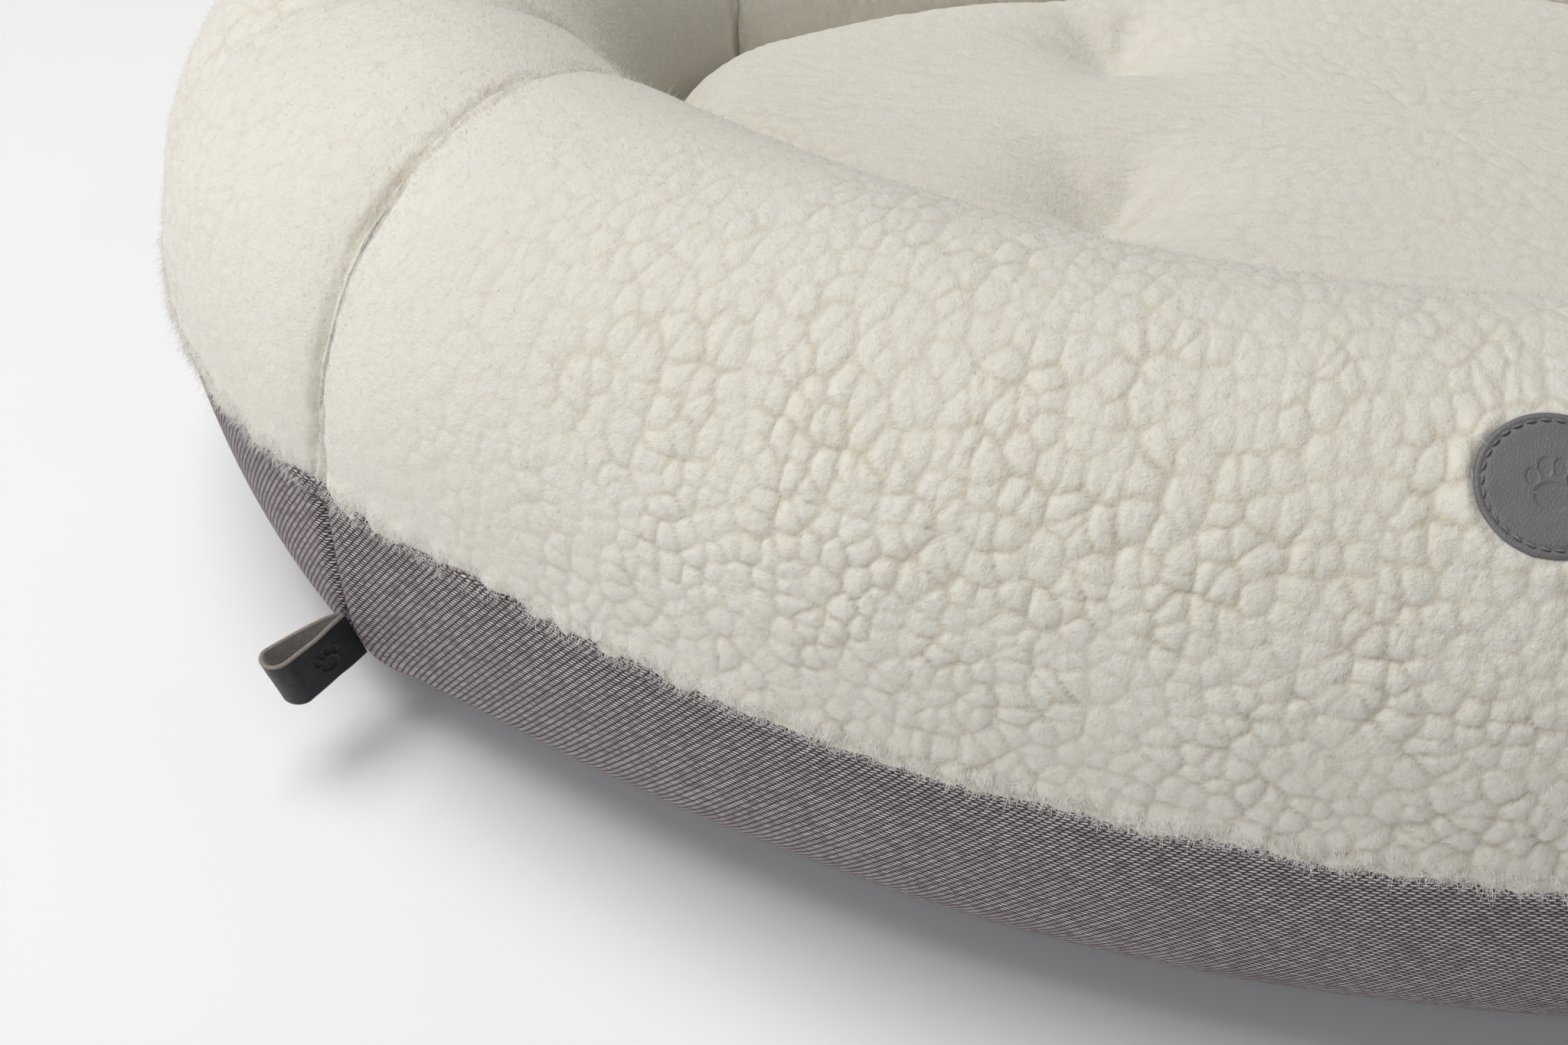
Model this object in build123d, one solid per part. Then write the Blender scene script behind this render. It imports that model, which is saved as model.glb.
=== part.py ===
"""Oval pet bed: a fleece-topped bolster rim on a twill base band, around a loose tufted cushion.

Millimetres, +Z up, the front is -Y, and the origin is the middle of the underside.
Seen from above the rim is an oval of four arcs, so each fabric panel is a section turned about its
own arc's upright axis. In a section, "in" is the distance inwards from the oval's outline.
"""

from math import atan2, cos, degrees, radians, sin
import os

from build123d import *

# Plan of the rim
WIDTH = 900.0
DEPTH = 614.0
FRONT_RADIUS = 605.0
SIDE_RADIUS = (FRONT_RADIUS**2 - (FRONT_RADIUS - DEPTH / 2) ** 2 - (WIDTH / 2) ** 2) / (
    2 * (FRONT_RADIUS - WIDTH / 2)
)
SEAM_TURN = degrees(atan2(WIDTH / 2 - SIDE_RADIUS, FRONT_RADIUS - DEPTH / 2))

# Section of the rim
RIM_HEIGHT = 208.0
SEAM_HEIGHT = 106.0
CREST_IN = 94.0
RIM_IN = 172.0
INNER_DROP = 95.0
SHOULDER_RADIUS = 110.0
INNER_RADIUS = 110.0
BAND_IN = 2.0
BAND_RUN = 62.0
BAND_RADIUS = 242.0

# Layers
FLEECE = 10.0
TWILL = 2.0
LINER = 1.0
LAYER_GAP = 0.2
LINER_DEPTH = 3.2
PAD_TOP = 27.0
FLOOR_TOP = 28.5

# Folded edge along the top of the twill band
HEM_HEIGHT = 7.0
HEM_PROUD = 1.4
THREAD_RADIUS = 0.4

# Loose cushion
CUSHION_GAP = 0.6
CUSHION_BASE = FLOOR_TOP + 0.4
CUSHION_TOP = 142.0
CUSHION_SEAM = 82.0
CUSHION_FLEECE = 8.0
TOP_ROUND = 40.0
BASE_ROUND = 26.0
TUFT_X = 107.0
TUFT_Y = 55.0
TUFT_TOP = 118.0
TUFT_DIMPLE_RADIUS = 60.0
TIE_RADIUS = 1.0

# Leather patch on the front of the rim
PATCH_RADIUS = 19.4
PATCH_THICK = 1.6
PATCH_RISE = 60.5
PATCH_SINK = 1.4
STITCHES = 30
STITCH_LENGTH = 2.4
STITCH_WIDTH = 0.7
STITCH_RING = 17.2

# Leather tag loop in the front left seam
TAG_WIDTH = 23.0
TAG_LENGTH = 34.5
TAG_TIP_RADIUS = 5.6
TAG_LEATHER = 1.6
TAG_DROP = 15.8
TAG_STAND = 5.0
TAG_CLEAR = 0.4
TAIL_DEPTH = 2.9

# Zip in the back panel of the band
ZIP_DROP = 12.0
ZIP_HALF_ANGLE = 17.0
SLOT_HEIGHT = 10.0
TAPE_HEIGHT = 12.0
TAPE_THICK = 0.8
TAPE_CENTRE_GAP = 1.8
TEETH_WIDTH = 3.4
TEETH_TOP = 0.9
TEETH_DEEP = 2.9
SLIDER_LENGTH = 13.0
SLIDER_WIDTH = 9.0
SLIDER_OUT = 1.6
CROWN_OUT = 4.4
CROWN_BAR_RADIUS = 0.8
PULL_HOLE_RADIUS = 0.85
PULL_KNUCKLE_RADIUS = 2.0
PULL_WIDTH = 6.0
PULL_LENGTH = 24.0
PULL_THICK = 1.2
SLIDER_ANGLE = 15.0
SLIDER_CLEAR = 0.4
SLIDER_CORNER = 2.0
SLIDER_EDGE = 0.5
CROWN_INSET = 1.5
POST_WIDTH = 1.4
STOP_LENGTH = 3.0
STOP_INSET = 2.0

PANELS = {
    "front": ((0, FRONT_RADIUS - DEPTH / 2), FRONT_RADIUS, 270 - SEAM_TURN, 2 * SEAM_TURN),
    "right": ((WIDTH / 2 - SIDE_RADIUS, 0), SIDE_RADIUS, SEAM_TURN - 90, 180 - 2 * SEAM_TURN),
    "back": ((0, DEPTH / 2 - FRONT_RADIUS), FRONT_RADIUS, 90 - SEAM_TURN, 2 * SEAM_TURN),
    "left": ((SIDE_RADIUS - WIDTH / 2, 0), SIDE_RADIUS, 90 + SEAM_TURN, 180 - 2 * SEAM_TURN),
}


def short_radius(long_radius, long_half, short_half):
    """Radius of the tight arc that meets a long arc smoothly over a quarter of an oval."""
    return (long_radius**2 - (long_radius - short_half) ** 2 - long_half**2) / (
        2 * (long_radius - long_half)
    )


CREST_RISE = RIM_HEIGHT - SEAM_HEIGHT
CREST_RADIUS = short_radius(SHOULDER_RADIUS, CREST_RISE, CREST_IN)
SHOULDER_TURN = degrees(atan2(CREST_RISE - CREST_RADIUS, SHOULDER_RADIUS - CREST_IN))
INNER_RUN = RIM_IN - CREST_IN
INNER_CREST_RADIUS = short_radius(INNER_RADIUS, INNER_DROP, INNER_RUN)
INNER_TURN = degrees(atan2(INNER_DROP - INNER_CREST_RADIUS, INNER_RADIUS - INNER_RUN))
TUCK_RADIUS = short_radius(BAND_RADIUS, SEAM_HEIGHT, BAND_RUN)
TUCK_TURN = degrees(atan2(SEAM_HEIGHT - TUCK_RADIUS, BAND_RADIUS - BAND_RUN))


def fleece_edges(radius, depth, foot):
    """The fleece line from the seam, over the crest and down the inner wall, at a depth under it."""
    shoulder = CenterArc((radius - SHOULDER_RADIUS, SEAM_HEIGHT), SHOULDER_RADIUS - depth, 0, SHOULDER_TURN)
    crest_centre = (radius - CREST_IN, RIM_HEIGHT - CREST_RADIUS)
    crest = CenterArc(crest_centre, CREST_RADIUS - depth, SHOULDER_TURN, 90 - SHOULDER_TURN)
    fall_centre = (radius - CREST_IN, RIM_HEIGHT - INNER_CREST_RADIUS)
    fall = CenterArc(fall_centre, INNER_CREST_RADIUS - depth, 90, 90 - INNER_TURN)
    inner_centre = (radius - RIM_IN + INNER_RADIUS, RIM_HEIGHT - INNER_DROP)
    inner = CenterArc(inner_centre, INNER_RADIUS - depth, 180 - INNER_TURN, INNER_TURN)
    wall = Line(inner @ 1, (radius - RIM_IN + depth, foot))
    return [shoulder, crest, fall, inner, wall]


def band_edges(radius, depth):
    """The twill line from the seam down to where the underside turns flat, at a depth under it."""
    side = CenterArc((radius - BAND_IN - BAND_RADIUS, SEAM_HEIGHT), BAND_RADIUS - depth, 0, -TUCK_TURN)
    tuck_centre = (radius - BAND_IN - BAND_RUN, TUCK_RADIUS)
    tuck = CenterArc(tuck_centre, TUCK_RADIUS - depth, -TUCK_TURN, TUCK_TURN - 90)
    return [side, tuck]


def shell_face(outer, inner):
    """The strip between two open lines that run the same way."""
    start = Line(outer[0] @ 0, inner[0] @ 0)
    end = Line(outer[-1] @ 1, inner[-1] @ 1)
    return make_face(Wire(outer + inner + [start, end]))


def rim_face(radius, fleece_depth, band_depth):
    """The whole rim section inside the fleece and the band."""
    upper = fleece_edges(radius, fleece_depth, band_depth)
    lower = band_edges(radius, band_depth)
    seam = Line(upper[0] @ 0, lower[0] @ 0)
    base = Line(upper[-1] @ 1, lower[-1] @ 1)
    return make_face(Wire(upper + lower + [seam, base]))


def turn(face, panel, start=None, sweep=None):
    """Turn a section about the upright axis of a panel's arc, over the panel or a part of it."""
    centre, _, panel_start, panel_sweep = PANELS[panel]
    solid = revolve(Plane.XZ * face, Axis.Z, panel_sweep if sweep is None else sweep)
    return Pos(*centre) * Rot(0, 0, panel_start if start is None else start) * solid


def turn_all(section):
    """One closed ring made of a section turned through all four panels."""
    solids = [turn(section(radius), name) for name, (_, radius, _, _) in PANELS.items()]
    return solids[0].fuse(*solids[1:])


def oval(inset):
    """The plan oval, a distance inwards from the rim's outline."""
    arcs = [
        Pos(*centre) * CenterArc((0, 0), radius - inset, start, sweep)
        for centre, radius, start, sweep in PANELS.values()
    ]
    return make_face(Wire([arc.edge() for arc in arcs]))


def slab(inset, bottom, top):
    """A flat layer with the oval's outline."""
    return Pos(0, 0, bottom) * extrude(oval(inset), top - bottom)


def band_place(panel, angle, drop):
    """A plane on the band: x along the panel, y up the fabric, z outwards."""
    centre, radius, _, _ = PANELS[panel]
    out = radius - BAND_IN - BAND_RADIUS + BAND_RADIUS * cos(radians(drop))
    spot = Vector(centre[0] + out * cos(radians(angle)), centre[1] + out * sin(radians(angle)),
                  SEAM_HEIGHT - BAND_RADIUS * sin(radians(drop)))
    normal = Vector(cos(radians(angle)) * cos(radians(drop)), sin(radians(angle)) * cos(radians(drop)),
                    -sin(radians(drop)))
    along = Vector(-sin(radians(angle)), cos(radians(angle)), 0)
    return Plane(origin=spot, x_dir=along, z_dir=normal)


def band_strip(panel, above, below, out, deep, start, sweep):
    """A strip that follows the band's curve: from above to below a drop angle, out to deep."""
    _, radius, _, _ = PANELS[panel]
    centre = (radius - BAND_IN - BAND_RADIUS, SEAM_HEIGHT)
    outer = CenterArc(centre, BAND_RADIUS + out, -above, above - below)
    inner = CenterArc(centre, BAND_RADIUS - deep, -above, above - below)
    return turn(shell_face([outer], [inner]), panel, start, sweep)


def arc_degrees(length):
    """The drop angle that a length along the band's section takes."""
    return degrees(length / BAND_RADIUS)


def fleece_panel(panel):
    """Sherpa fleece over one side of the rim, from the seam to the nest's floor."""
    _, radius, _, _ = PANELS[panel]
    face = shell_face(fleece_edges(radius, 0, FLOOR_TOP), fleece_edges(radius, FLEECE, FLOOR_TOP))
    return turn(face, panel)


def band_panel(panel):
    """Twill round one side of the base, from the seam to the underside."""
    _, radius, _, _ = PANELS[panel]
    return turn(shell_face(band_edges(radius, 0), band_edges(radius, TWILL)), panel)


def hem_panel(panel):
    """The folded edge on the outside of the band's top."""
    _, _, start, sweep = PANELS[panel]
    return band_strip(panel, 0, arc_degrees(HEM_HEIGHT), HEM_PROUD, 0, start, sweep)


def hem_thread(radius):
    """Section of the top-stitching thread that lies just under the folded edge."""
    drop = radians(arc_degrees(HEM_HEIGHT + THREAD_RADIUS))
    reach = BAND_RADIUS + THREAD_RADIUS
    centre_x = radius - BAND_IN - BAND_RADIUS + reach * cos(drop)
    return Pos(centre_x, SEAM_HEIGHT - reach * sin(drop)) * Circle(THREAD_RADIUS)


def liner_ring():
    """The inner casing that holds the rim's filling."""
    outer = turn_all(lambda radius: rim_face(radius, FLEECE + LAYER_GAP, LINER_DEPTH))
    inner = turn_all(lambda radius: rim_face(radius, FLEECE + LAYER_GAP + LINER, LINER_DEPTH + LINER))
    return outer - inner


def filling_ring():
    """The fibre filling inside the casing."""
    inside = 2 * LAYER_GAP + LINER
    return turn_all(lambda radius: rim_face(radius, FLEECE + inside, LINER_DEPTH + LINER + LAYER_GAP))


def pillow(inset, bottom, top, base_round, top_round):
    """A rounded slab with the cushion's outline."""
    block = slab(inset, bottom, top)
    block = fillet(block.edges().group_by(Axis.Z)[-1], top_round)
    return fillet(block.edges().group_by(Axis.Z)[0], base_round)


def tuft_spots():
    """Where the ties pull the cushion down."""
    return [(x, y) for x in (-TUFT_X, TUFT_X) for y in (-TUFT_Y, TUFT_Y)]


def cushion_block(depth):
    """The cushion's body at a depth under its cover, with a dimple over each tie."""
    block = pillow(
        RIM_IN + CUSHION_GAP + depth, CUSHION_BASE + depth, CUSHION_TOP - depth,
        BASE_ROUND - depth, TOP_ROUND - depth,
    )
    dimple = Sphere(TUFT_DIMPLE_RADIUS + depth)
    centre_height = TUFT_TOP + TUFT_DIMPLE_RADIUS
    for x, y in tuft_spots():
        block -= Pos(x, y, centre_height) * dimple
        block -= Pos(x, y, (CUSHION_BASE + TUFT_TOP) / 2) * Cylinder(TIE_RADIUS, 2 * TUFT_TOP)
    return block


def cushion_parts():
    """Fleece top, twill underside, casing and filling, nested in one another."""
    cover = cushion_block(0)
    inside_top = cushion_block(CUSHION_FLEECE)
    inside_base = cushion_block(TWILL)
    upper = Pos(0, 0, CUSHION_SEAM + RIM_HEIGHT / 2) * Box(WIDTH, DEPTH, RIM_HEIGHT)
    lower = Pos(0, 0, CUSHION_SEAM - RIM_HEIGHT / 2) * Box(WIDTH, DEPTH, RIM_HEIGHT)
    top = (cover - inside_top) & upper
    underside = (cover - inside_base) & lower
    casing = cushion_block(CUSHION_FLEECE + LAYER_GAP)
    hollow = cushion_block(CUSHION_FLEECE + LAYER_GAP + LINER)
    filling = cushion_block(CUSHION_FLEECE + 2 * LAYER_GAP + LINER)
    return top, underside, casing - hollow, filling


def tuft_ties():
    """One strong thread per tuft, from the underside to the dimple."""
    height = TUFT_TOP - CUSHION_BASE
    tie = Cylinder(TIE_RADIUS, height, align=(Align.CENTER, Align.CENTER, Align.MIN))
    return Compound([Pos(x, y, CUSHION_BASE) * tie for x, y in tuft_spots()])


def patch_plane():
    """The patch's back face: z points straight out of the fleece."""
    rise = radians(PATCH_RISE)
    reach = CREST_RADIUS - PATCH_SINK
    spot = (0, CREST_IN - DEPTH / 2 - reach * cos(rise), RIM_HEIGHT - CREST_RADIUS + reach * sin(rise))
    return Plane(origin=spot, x_dir=(1, 0, 0), z_dir=(0, -cos(rise), sin(rise)))


def patch_disc():
    """Round leather patch."""
    disc = extrude(Circle(PATCH_RADIUS), PATCH_THICK)
    disc = fillet(disc.edges().group_by(Axis.Z)[-1], PATCH_THICK / 3)
    return patch_plane() * disc


def patch_pocket():
    """Room that the patch presses into the fleece's pile."""
    return patch_plane() * extrude(Circle(PATCH_RADIUS), FLEECE)


def patch_stitching():
    """Short stitches in a ring near the patch's edge."""
    stitch = extrude(SlotOverall(STITCH_LENGTH, STITCH_WIDTH), STITCH_WIDTH / 2)
    ring = [
        Rot(0, 0, 360 * step / STITCHES) * Pos(0, STITCH_RING, PATCH_THICK) * stitch
        for step in range(STITCHES)
    ]
    return Compound([patch_plane() * item for item in ring])


def tag_plane():
    """Where the strap opens into its loop, a little out of the front left seam that holds its ends.

    x runs along the fabric, y up it and z outwards.
    """
    return band_place("front", 270 - SEAM_TURN, TAG_DROP).offset(TAG_STAND)


def tag_profile():
    """The strap's teardrop seen from above: x outwards from the seam, y across."""
    root = Pos(TAG_CLEAR + TAG_LEATHER, 0) * Circle(TAG_LEATHER)
    tip = TAG_LENGTH - TAG_TIP_RADIUS
    outer = make_hull((root + Pos(tip, 0) * Circle(TAG_TIP_RADIUS)).edges())
    throat = Pos(TAG_LENGTH / 3, 0) * Circle(TAG_LEATHER / 3)
    inner = make_hull((throat + Pos(tip, 0) * Circle(TAG_TIP_RADIUS - TAG_LEATHER)).edges())
    return outer - inner


def tag_strap():
    """Folded leather strap: its length is level, and its width leans with the seam."""
    seam = tag_plane()
    angle = radians(270 - SEAM_TURN)
    level = Plane(origin=seam.origin, x_dir=(cos(angle), sin(angle), 0), z_dir=(0, 0, 1))
    half = seam.y_dir * (TAG_WIDTH / 2)
    start = Pos(*(-half)) * (level * tag_profile())
    return extrude(start, TAG_WIDTH, dir=seam.y_dir)


def tag_tails():
    """The strap's two ends, flat against each other, from inside the seam to where the loop opens."""
    reach = TAG_STAND + TAIL_DEPTH
    block = Box(2 * TAG_LEATHER, TAG_WIDTH, reach, align=(Align.CENTER, Align.CENTER, Align.MAX))
    return tag_plane() * block


def zip_degrees(length):
    """The turn about the back panel's axis that a length along the zip takes."""
    return degrees(length / FRONT_RADIUS)


def zip_strip(above, below, out, deep, half_angle):
    """A strip along the zip: above and below its centre line, out of and into the band."""
    top = ZIP_DROP - arc_degrees(above)
    bottom = ZIP_DROP + arc_degrees(below)
    return band_strip("back", top, bottom, out, deep, 90 - half_angle, 2 * half_angle)


def zip_slot():
    """The opening in the back band."""
    return zip_strip(SLOT_HEIGHT / 2, SLOT_HEIGHT / 2, TWILL, 2 * TWILL, ZIP_HALF_ANGLE)


def zip_tapes():
    """Upper and lower tapes, behind the band."""
    reach = TAPE_CENTRE_GAP + TAPE_HEIGHT
    half_angle = ZIP_HALF_ANGLE + zip_degrees(TAPE_HEIGHT)
    upper = zip_strip(reach, -TAPE_CENTRE_GAP, -TWILL, TWILL + TAPE_THICK, half_angle)
    lower = zip_strip(-TAPE_CENTRE_GAP, reach, -TWILL, TWILL + TAPE_THICK, half_angle)
    return upper, lower


def zip_teeth():
    """The closed coil between the tapes."""
    half = TEETH_WIDTH / 2
    return zip_strip(half, half, -TEETH_TOP, TEETH_DEEP, ZIP_HALF_ANGLE)


def zip_stops():
    """A metal stop at each end of the coil."""
    height = TWILL - TEETH_TOP / 2
    stop = Box(STOP_LENGTH, SLIDER_WIDTH, height, align=(Align.CENTER, Align.CENTER, Align.MAX))
    end = ZIP_HALF_ANGLE - zip_degrees(STOP_INSET)
    spots = [band_place("back", 90 + side * end, ZIP_DROP) for side in (-1, 1)]
    coil = zip_teeth()
    return Compound([(spot * Pos(0, 0, TEETH_TOP / 2) * stop) - coil for spot in spots])


def slider_plane():
    """Where the slider waits, near the closed end."""
    return band_place("back", 90 + SLIDER_ANGLE, ZIP_DROP)


def slider_channel(bottom):
    """The tunnel through the slider that the coil runs in, open below."""
    top = SLIDER_CLEAR - TEETH_TOP
    size = (2 * SLIDER_LENGTH, TEETH_WIDTH + 2 * SLIDER_CLEAR, 2 * (top - bottom))
    return Pos(0, 0, bottom) * Box(*size)


def zip_slider():
    """Slider that straddles the coil, with the bar that its pull hangs from."""
    low = SLIDER_CLEAR - TWILL
    body = Pos(0, 0, (low + SLIDER_OUT) / 2) * Box(SLIDER_LENGTH, SLIDER_WIDTH, SLIDER_OUT - low)
    body = fillet(body.edges().filter_by(Axis.Z), SLIDER_CORNER)
    body = fillet(body.edges().group_by(Axis.Z)[-1], SLIDER_EDGE)
    body -= slider_channel(low)
    bar_length = SLIDER_LENGTH - 2 * CROWN_INSET
    bar = Pos(0, 0, CROWN_OUT) * Rot(0, 90, 0) * Cylinder(CROWN_BAR_RADIUS, bar_length)
    post = Box(POST_WIDTH, 2 * CROWN_BAR_RADIUS, CROWN_OUT - SLIDER_OUT + SLIDER_CLEAR)
    offset = (bar_length - POST_WIDTH) / 2
    posts = [Pos(side * offset, 0, (SLIDER_OUT + CROWN_OUT) / 2) * post for side in (-1, 1)]
    return slider_plane() * (body + posts[0] + posts[1] + bar)


def zip_pull():
    """Flat pull that hangs straight down from the slider's bar."""
    spot = slider_plane() * Pos(0, 0, CROWN_OUT)
    knuckle = Cylinder(PULL_KNUCKLE_RADIUS, PULL_WIDTH)
    knuckle = Rot(0, 90, 0) * knuckle
    tab = Pos(0, 0, -PULL_LENGTH / 2) * Box(PULL_WIDTH, PULL_THICK, PULL_LENGTH)
    tab = fillet(tab.edges().filter_by(Axis.Y).group_by(Axis.Z)[0], SLIDER_CORNER)
    hole = Rot(0, 90, 0) * Cylinder(PULL_HOLE_RADIUS, 2 * PULL_WIDTH)
    upright = Plane(origin=spot.position, x_dir=slider_plane().x_dir, z_dir=(0, 0, 1))
    return upright * (knuckle + tab - hole)


def save(name, shape):
    """Write one sub-part."""
    export_step(shape, f"parts/{name}.step")


def build():
    """Make every sub-part and write it."""
    os.makedirs("parts", exist_ok=True)
    save("bottom_panel", slab(BAND_IN + BAND_RUN, 0, TWILL))
    pad_inset = RIM_IN - FLEECE
    save("base_pad", slab(pad_inset, TWILL, PAD_TOP))
    save("nest_floor", slab(pad_inset, PAD_TOP, FLOOR_TOP))
    tails = tag_tails()
    for panel in PANELS:
        fleece = fleece_panel(panel)
        band = band_panel(panel)
        if panel == "front":
            fleece -= patch_pocket()
        if panel == "back":
            band -= zip_slot()
        if panel in ("front", "left"):
            band -= tails
        save(f"fleece_{panel}", fleece)
        save(f"band_{panel}", band)
        save(f"hem_{panel}", hem_panel(panel))
    save("hem_topstitch", turn_all(hem_thread))
    save("rim_casing", liner_ring())
    save("rim_filling", filling_ring())
    save("leather_patch", patch_disc())
    save("patch_stitching", patch_stitching())
    save("tag_tails", tails)
    save("tag_loop", tag_strap())
    upper_tape, lower_tape = zip_tapes()
    save("zip_tape_upper", upper_tape)
    save("zip_tape_lower", lower_tape)
    save("zip_teeth", zip_teeth())
    save("zip_stops", zip_stops())
    save("zip_slider", zip_slider())
    save("zip_pull", zip_pull())
    top, underside, casing, filling = cushion_parts()
    save("cushion_top", top)
    save("cushion_underside", underside)
    save("cushion_casing", casing)
    save("cushion_filling", filling)
    save("tuft_ties", tuft_ties())


build()
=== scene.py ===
"""Looks of the oval pet bed: sherpa rim, twill band, leather tag and patch, loose tufted cushion.

Metres, +Z up, the front is -Y. Seen from above the rim is an oval of four arcs, and a fabric panel is
a grid of points: columns turn about the panel's arc, rows run along its section. "in" is the distance
inwards from the oval's outline.
"""

from math import acos, asin, atan2, cos, degrees, hypot, pi, radians, sin, tau

import bpy
import numpy as np
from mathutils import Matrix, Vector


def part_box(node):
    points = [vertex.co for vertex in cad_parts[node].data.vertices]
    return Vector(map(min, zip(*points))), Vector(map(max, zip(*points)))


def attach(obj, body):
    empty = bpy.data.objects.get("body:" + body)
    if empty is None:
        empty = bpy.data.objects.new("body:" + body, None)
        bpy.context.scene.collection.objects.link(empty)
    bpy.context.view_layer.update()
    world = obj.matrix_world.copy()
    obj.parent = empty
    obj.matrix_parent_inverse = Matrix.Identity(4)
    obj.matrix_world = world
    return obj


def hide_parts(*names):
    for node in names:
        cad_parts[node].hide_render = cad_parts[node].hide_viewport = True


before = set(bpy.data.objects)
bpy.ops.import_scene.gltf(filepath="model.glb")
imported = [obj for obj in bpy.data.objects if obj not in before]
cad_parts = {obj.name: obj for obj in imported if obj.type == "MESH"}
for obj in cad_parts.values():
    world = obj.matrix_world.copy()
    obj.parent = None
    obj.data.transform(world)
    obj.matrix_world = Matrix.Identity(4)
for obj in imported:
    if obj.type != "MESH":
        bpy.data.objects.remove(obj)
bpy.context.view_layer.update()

MM = 0.001

# Plan of the rim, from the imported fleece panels
HALF_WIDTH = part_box("fleece_right")[1][0]
HALF_DEPTH = -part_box("fleece_front")[0][1]
RIM_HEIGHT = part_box("fleece_front")[1][2]
FRONT_RADIUS = 605 * MM
SEAM_HEIGHT = 106 * MM
FLOOR_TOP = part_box("nest_floor")[1][2]

# Section of the rim
CREST_IN = 94 * MM
RIM_IN = 172 * MM
INNER_DROP = 95 * MM
SHOULDER_RADIUS = 110 * MM
INNER_RADIUS = 110 * MM
BAND_IN = 2 * MM
BAND_RUN = 62 * MM
BAND_RADIUS = 242 * MM
TWILL = 2 * MM
FLEECE = 9 * MM

# How far the band's lower corners stand out at its seams, and how far along
CORNER_STAND = 6.5 * MM
CORNER_REACH = 42 * MM

# Folded edge of the band
HEM_HEIGHT = 7 * MM
HEM_PROUD = 1.4 * MM

# Fleece pile
CURL = 6.6 * MM
CURL_DEPTH = 0.85 * MM
PILE_STEP = {"front": 1.1 * MM, "right": 1.6 * MM, "back": 1.6 * MM, "left": 1.6 * MM}
BACKING_RATIO = 8
FOLD_TURN = 199
CLOTH_IN = 60 * MM
WISPS = {"front": 28000, "right": 14000, "back": 20000, "left": 20000}
WISP_REACH = 280 * MM
WISP_LENGTH = 2.4 * MM
WISP_THICK = 0.07 * MM
YARN_ENDS = 9
YARN_END = 1.5 * MM
CELL_JITTER = 0.9
# How lively the curls are at a seam and away from it, and over what distance they change
PILE = {
    "front": (0.15, 1.0, 0.19), "right": (0.30, 1.0, 0.15),
    "back": (0.25, 1.0, 0.17), "left": (0.20, 0.75, 0.22),
}

# Twill: distance between wales and between the floats along one
WALE = 2.0 * MM
FLOAT_RUN = 1.65 * MM
FLOAT_LEAN = 0.9
WALE_RISE = 52
BAND_STEP = 2.5 * MM
HEM_STEP = 2.0 * MM

# Leather
TAG_LEATHER = 1.6 * MM
TAG_WIDTH = 23 * MM
TAG_LENGTH = 34.5 * MM
TAG_TIP_RADIUS = 5.6 * MM
TAG_DROP = 15.8
TAG_STAND = 5 * MM
PATCH_RADIUS = 19.4 * MM
PATCH_THICK = 1.6 * MM
PATCH_RISE = 60.5
PATCH_SINK = 1.4 * MM
STITCH_RING = 17.2 * MM
STITCHES = 30
STITCH_LENGTH = 2.6 * MM
STITCH_THICK = 0.36 * MM
PATCH_PAW_DEPTH = 0.28 * MM
TAG_PAW_DEPTH = 0.38 * MM

# Loose cushion
CUSHION_IN = 172.6 * MM
CUSHION_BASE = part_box("cushion_underside")[0][2]
CUSHION_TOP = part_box("cushion_top")[1][2]
CUSHION_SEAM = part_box("cushion_underside")[1][2]
TOP_ROUND = 42 * MM
BASE_ROUND = 26 * MM
CROWN = 4 * MM
TUFT_X = 107 * MM
TUFT_Y = 55 * MM
TUFT_DEPTH = 23 * MM
TUFT_SPREAD = 27 * MM
CUSHION_STEP = 2.2 * MM
CUSHION_CURL = 8 * MM

# Viewpoint, and the lamps: place, size in metres, watts, colour
LENS = 50
SENSOR = 36
VIEW_FROM = (-0.1359, -0.6863, 0.5486)
LOOK_DOWN = 41.81
LOOK_LEFT = 7.44
LAMPS = {
    "key": ((-0.95, 0.0, 2.25), 1.5, 46, (1.0, 0.985, 0.96)),
    "fill": ((-1.7, -2.0, 1.0), 1.6, 21, (1.0, 1.0, 1.0)),
}
LAMP_TARGET = (0, 0, 0.1)
SKY = 0.12
FLOOR_HALF = 6.0


def short_radius(long_radius, long_half, short_half):
    """Radius of the tight arc that meets a long arc smoothly over a quarter of an oval."""
    return (long_radius**2 - (long_radius - short_half) ** 2 - long_half**2) / (
        2 * (long_radius - long_half)
    )


SIDE_RADIUS = short_radius(FRONT_RADIUS, HALF_WIDTH, HALF_DEPTH)
SEAM_TURN = degrees(atan2(HALF_WIDTH - SIDE_RADIUS, FRONT_RADIUS - HALF_DEPTH))
PANELS = {
    "front": ((0, FRONT_RADIUS - HALF_DEPTH), FRONT_RADIUS, 270 - SEAM_TURN, 2 * SEAM_TURN),
    "right": ((HALF_WIDTH - SIDE_RADIUS, 0), SIDE_RADIUS, SEAM_TURN - 90, 180 - 2 * SEAM_TURN),
    "back": ((0, HALF_DEPTH - FRONT_RADIUS), FRONT_RADIUS, 90 - SEAM_TURN, 2 * SEAM_TURN),
    "left": ((SIDE_RADIUS - HALF_WIDTH, 0), SIDE_RADIUS, 90 + SEAM_TURN, 180 - 2 * SEAM_TURN),
}

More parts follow.
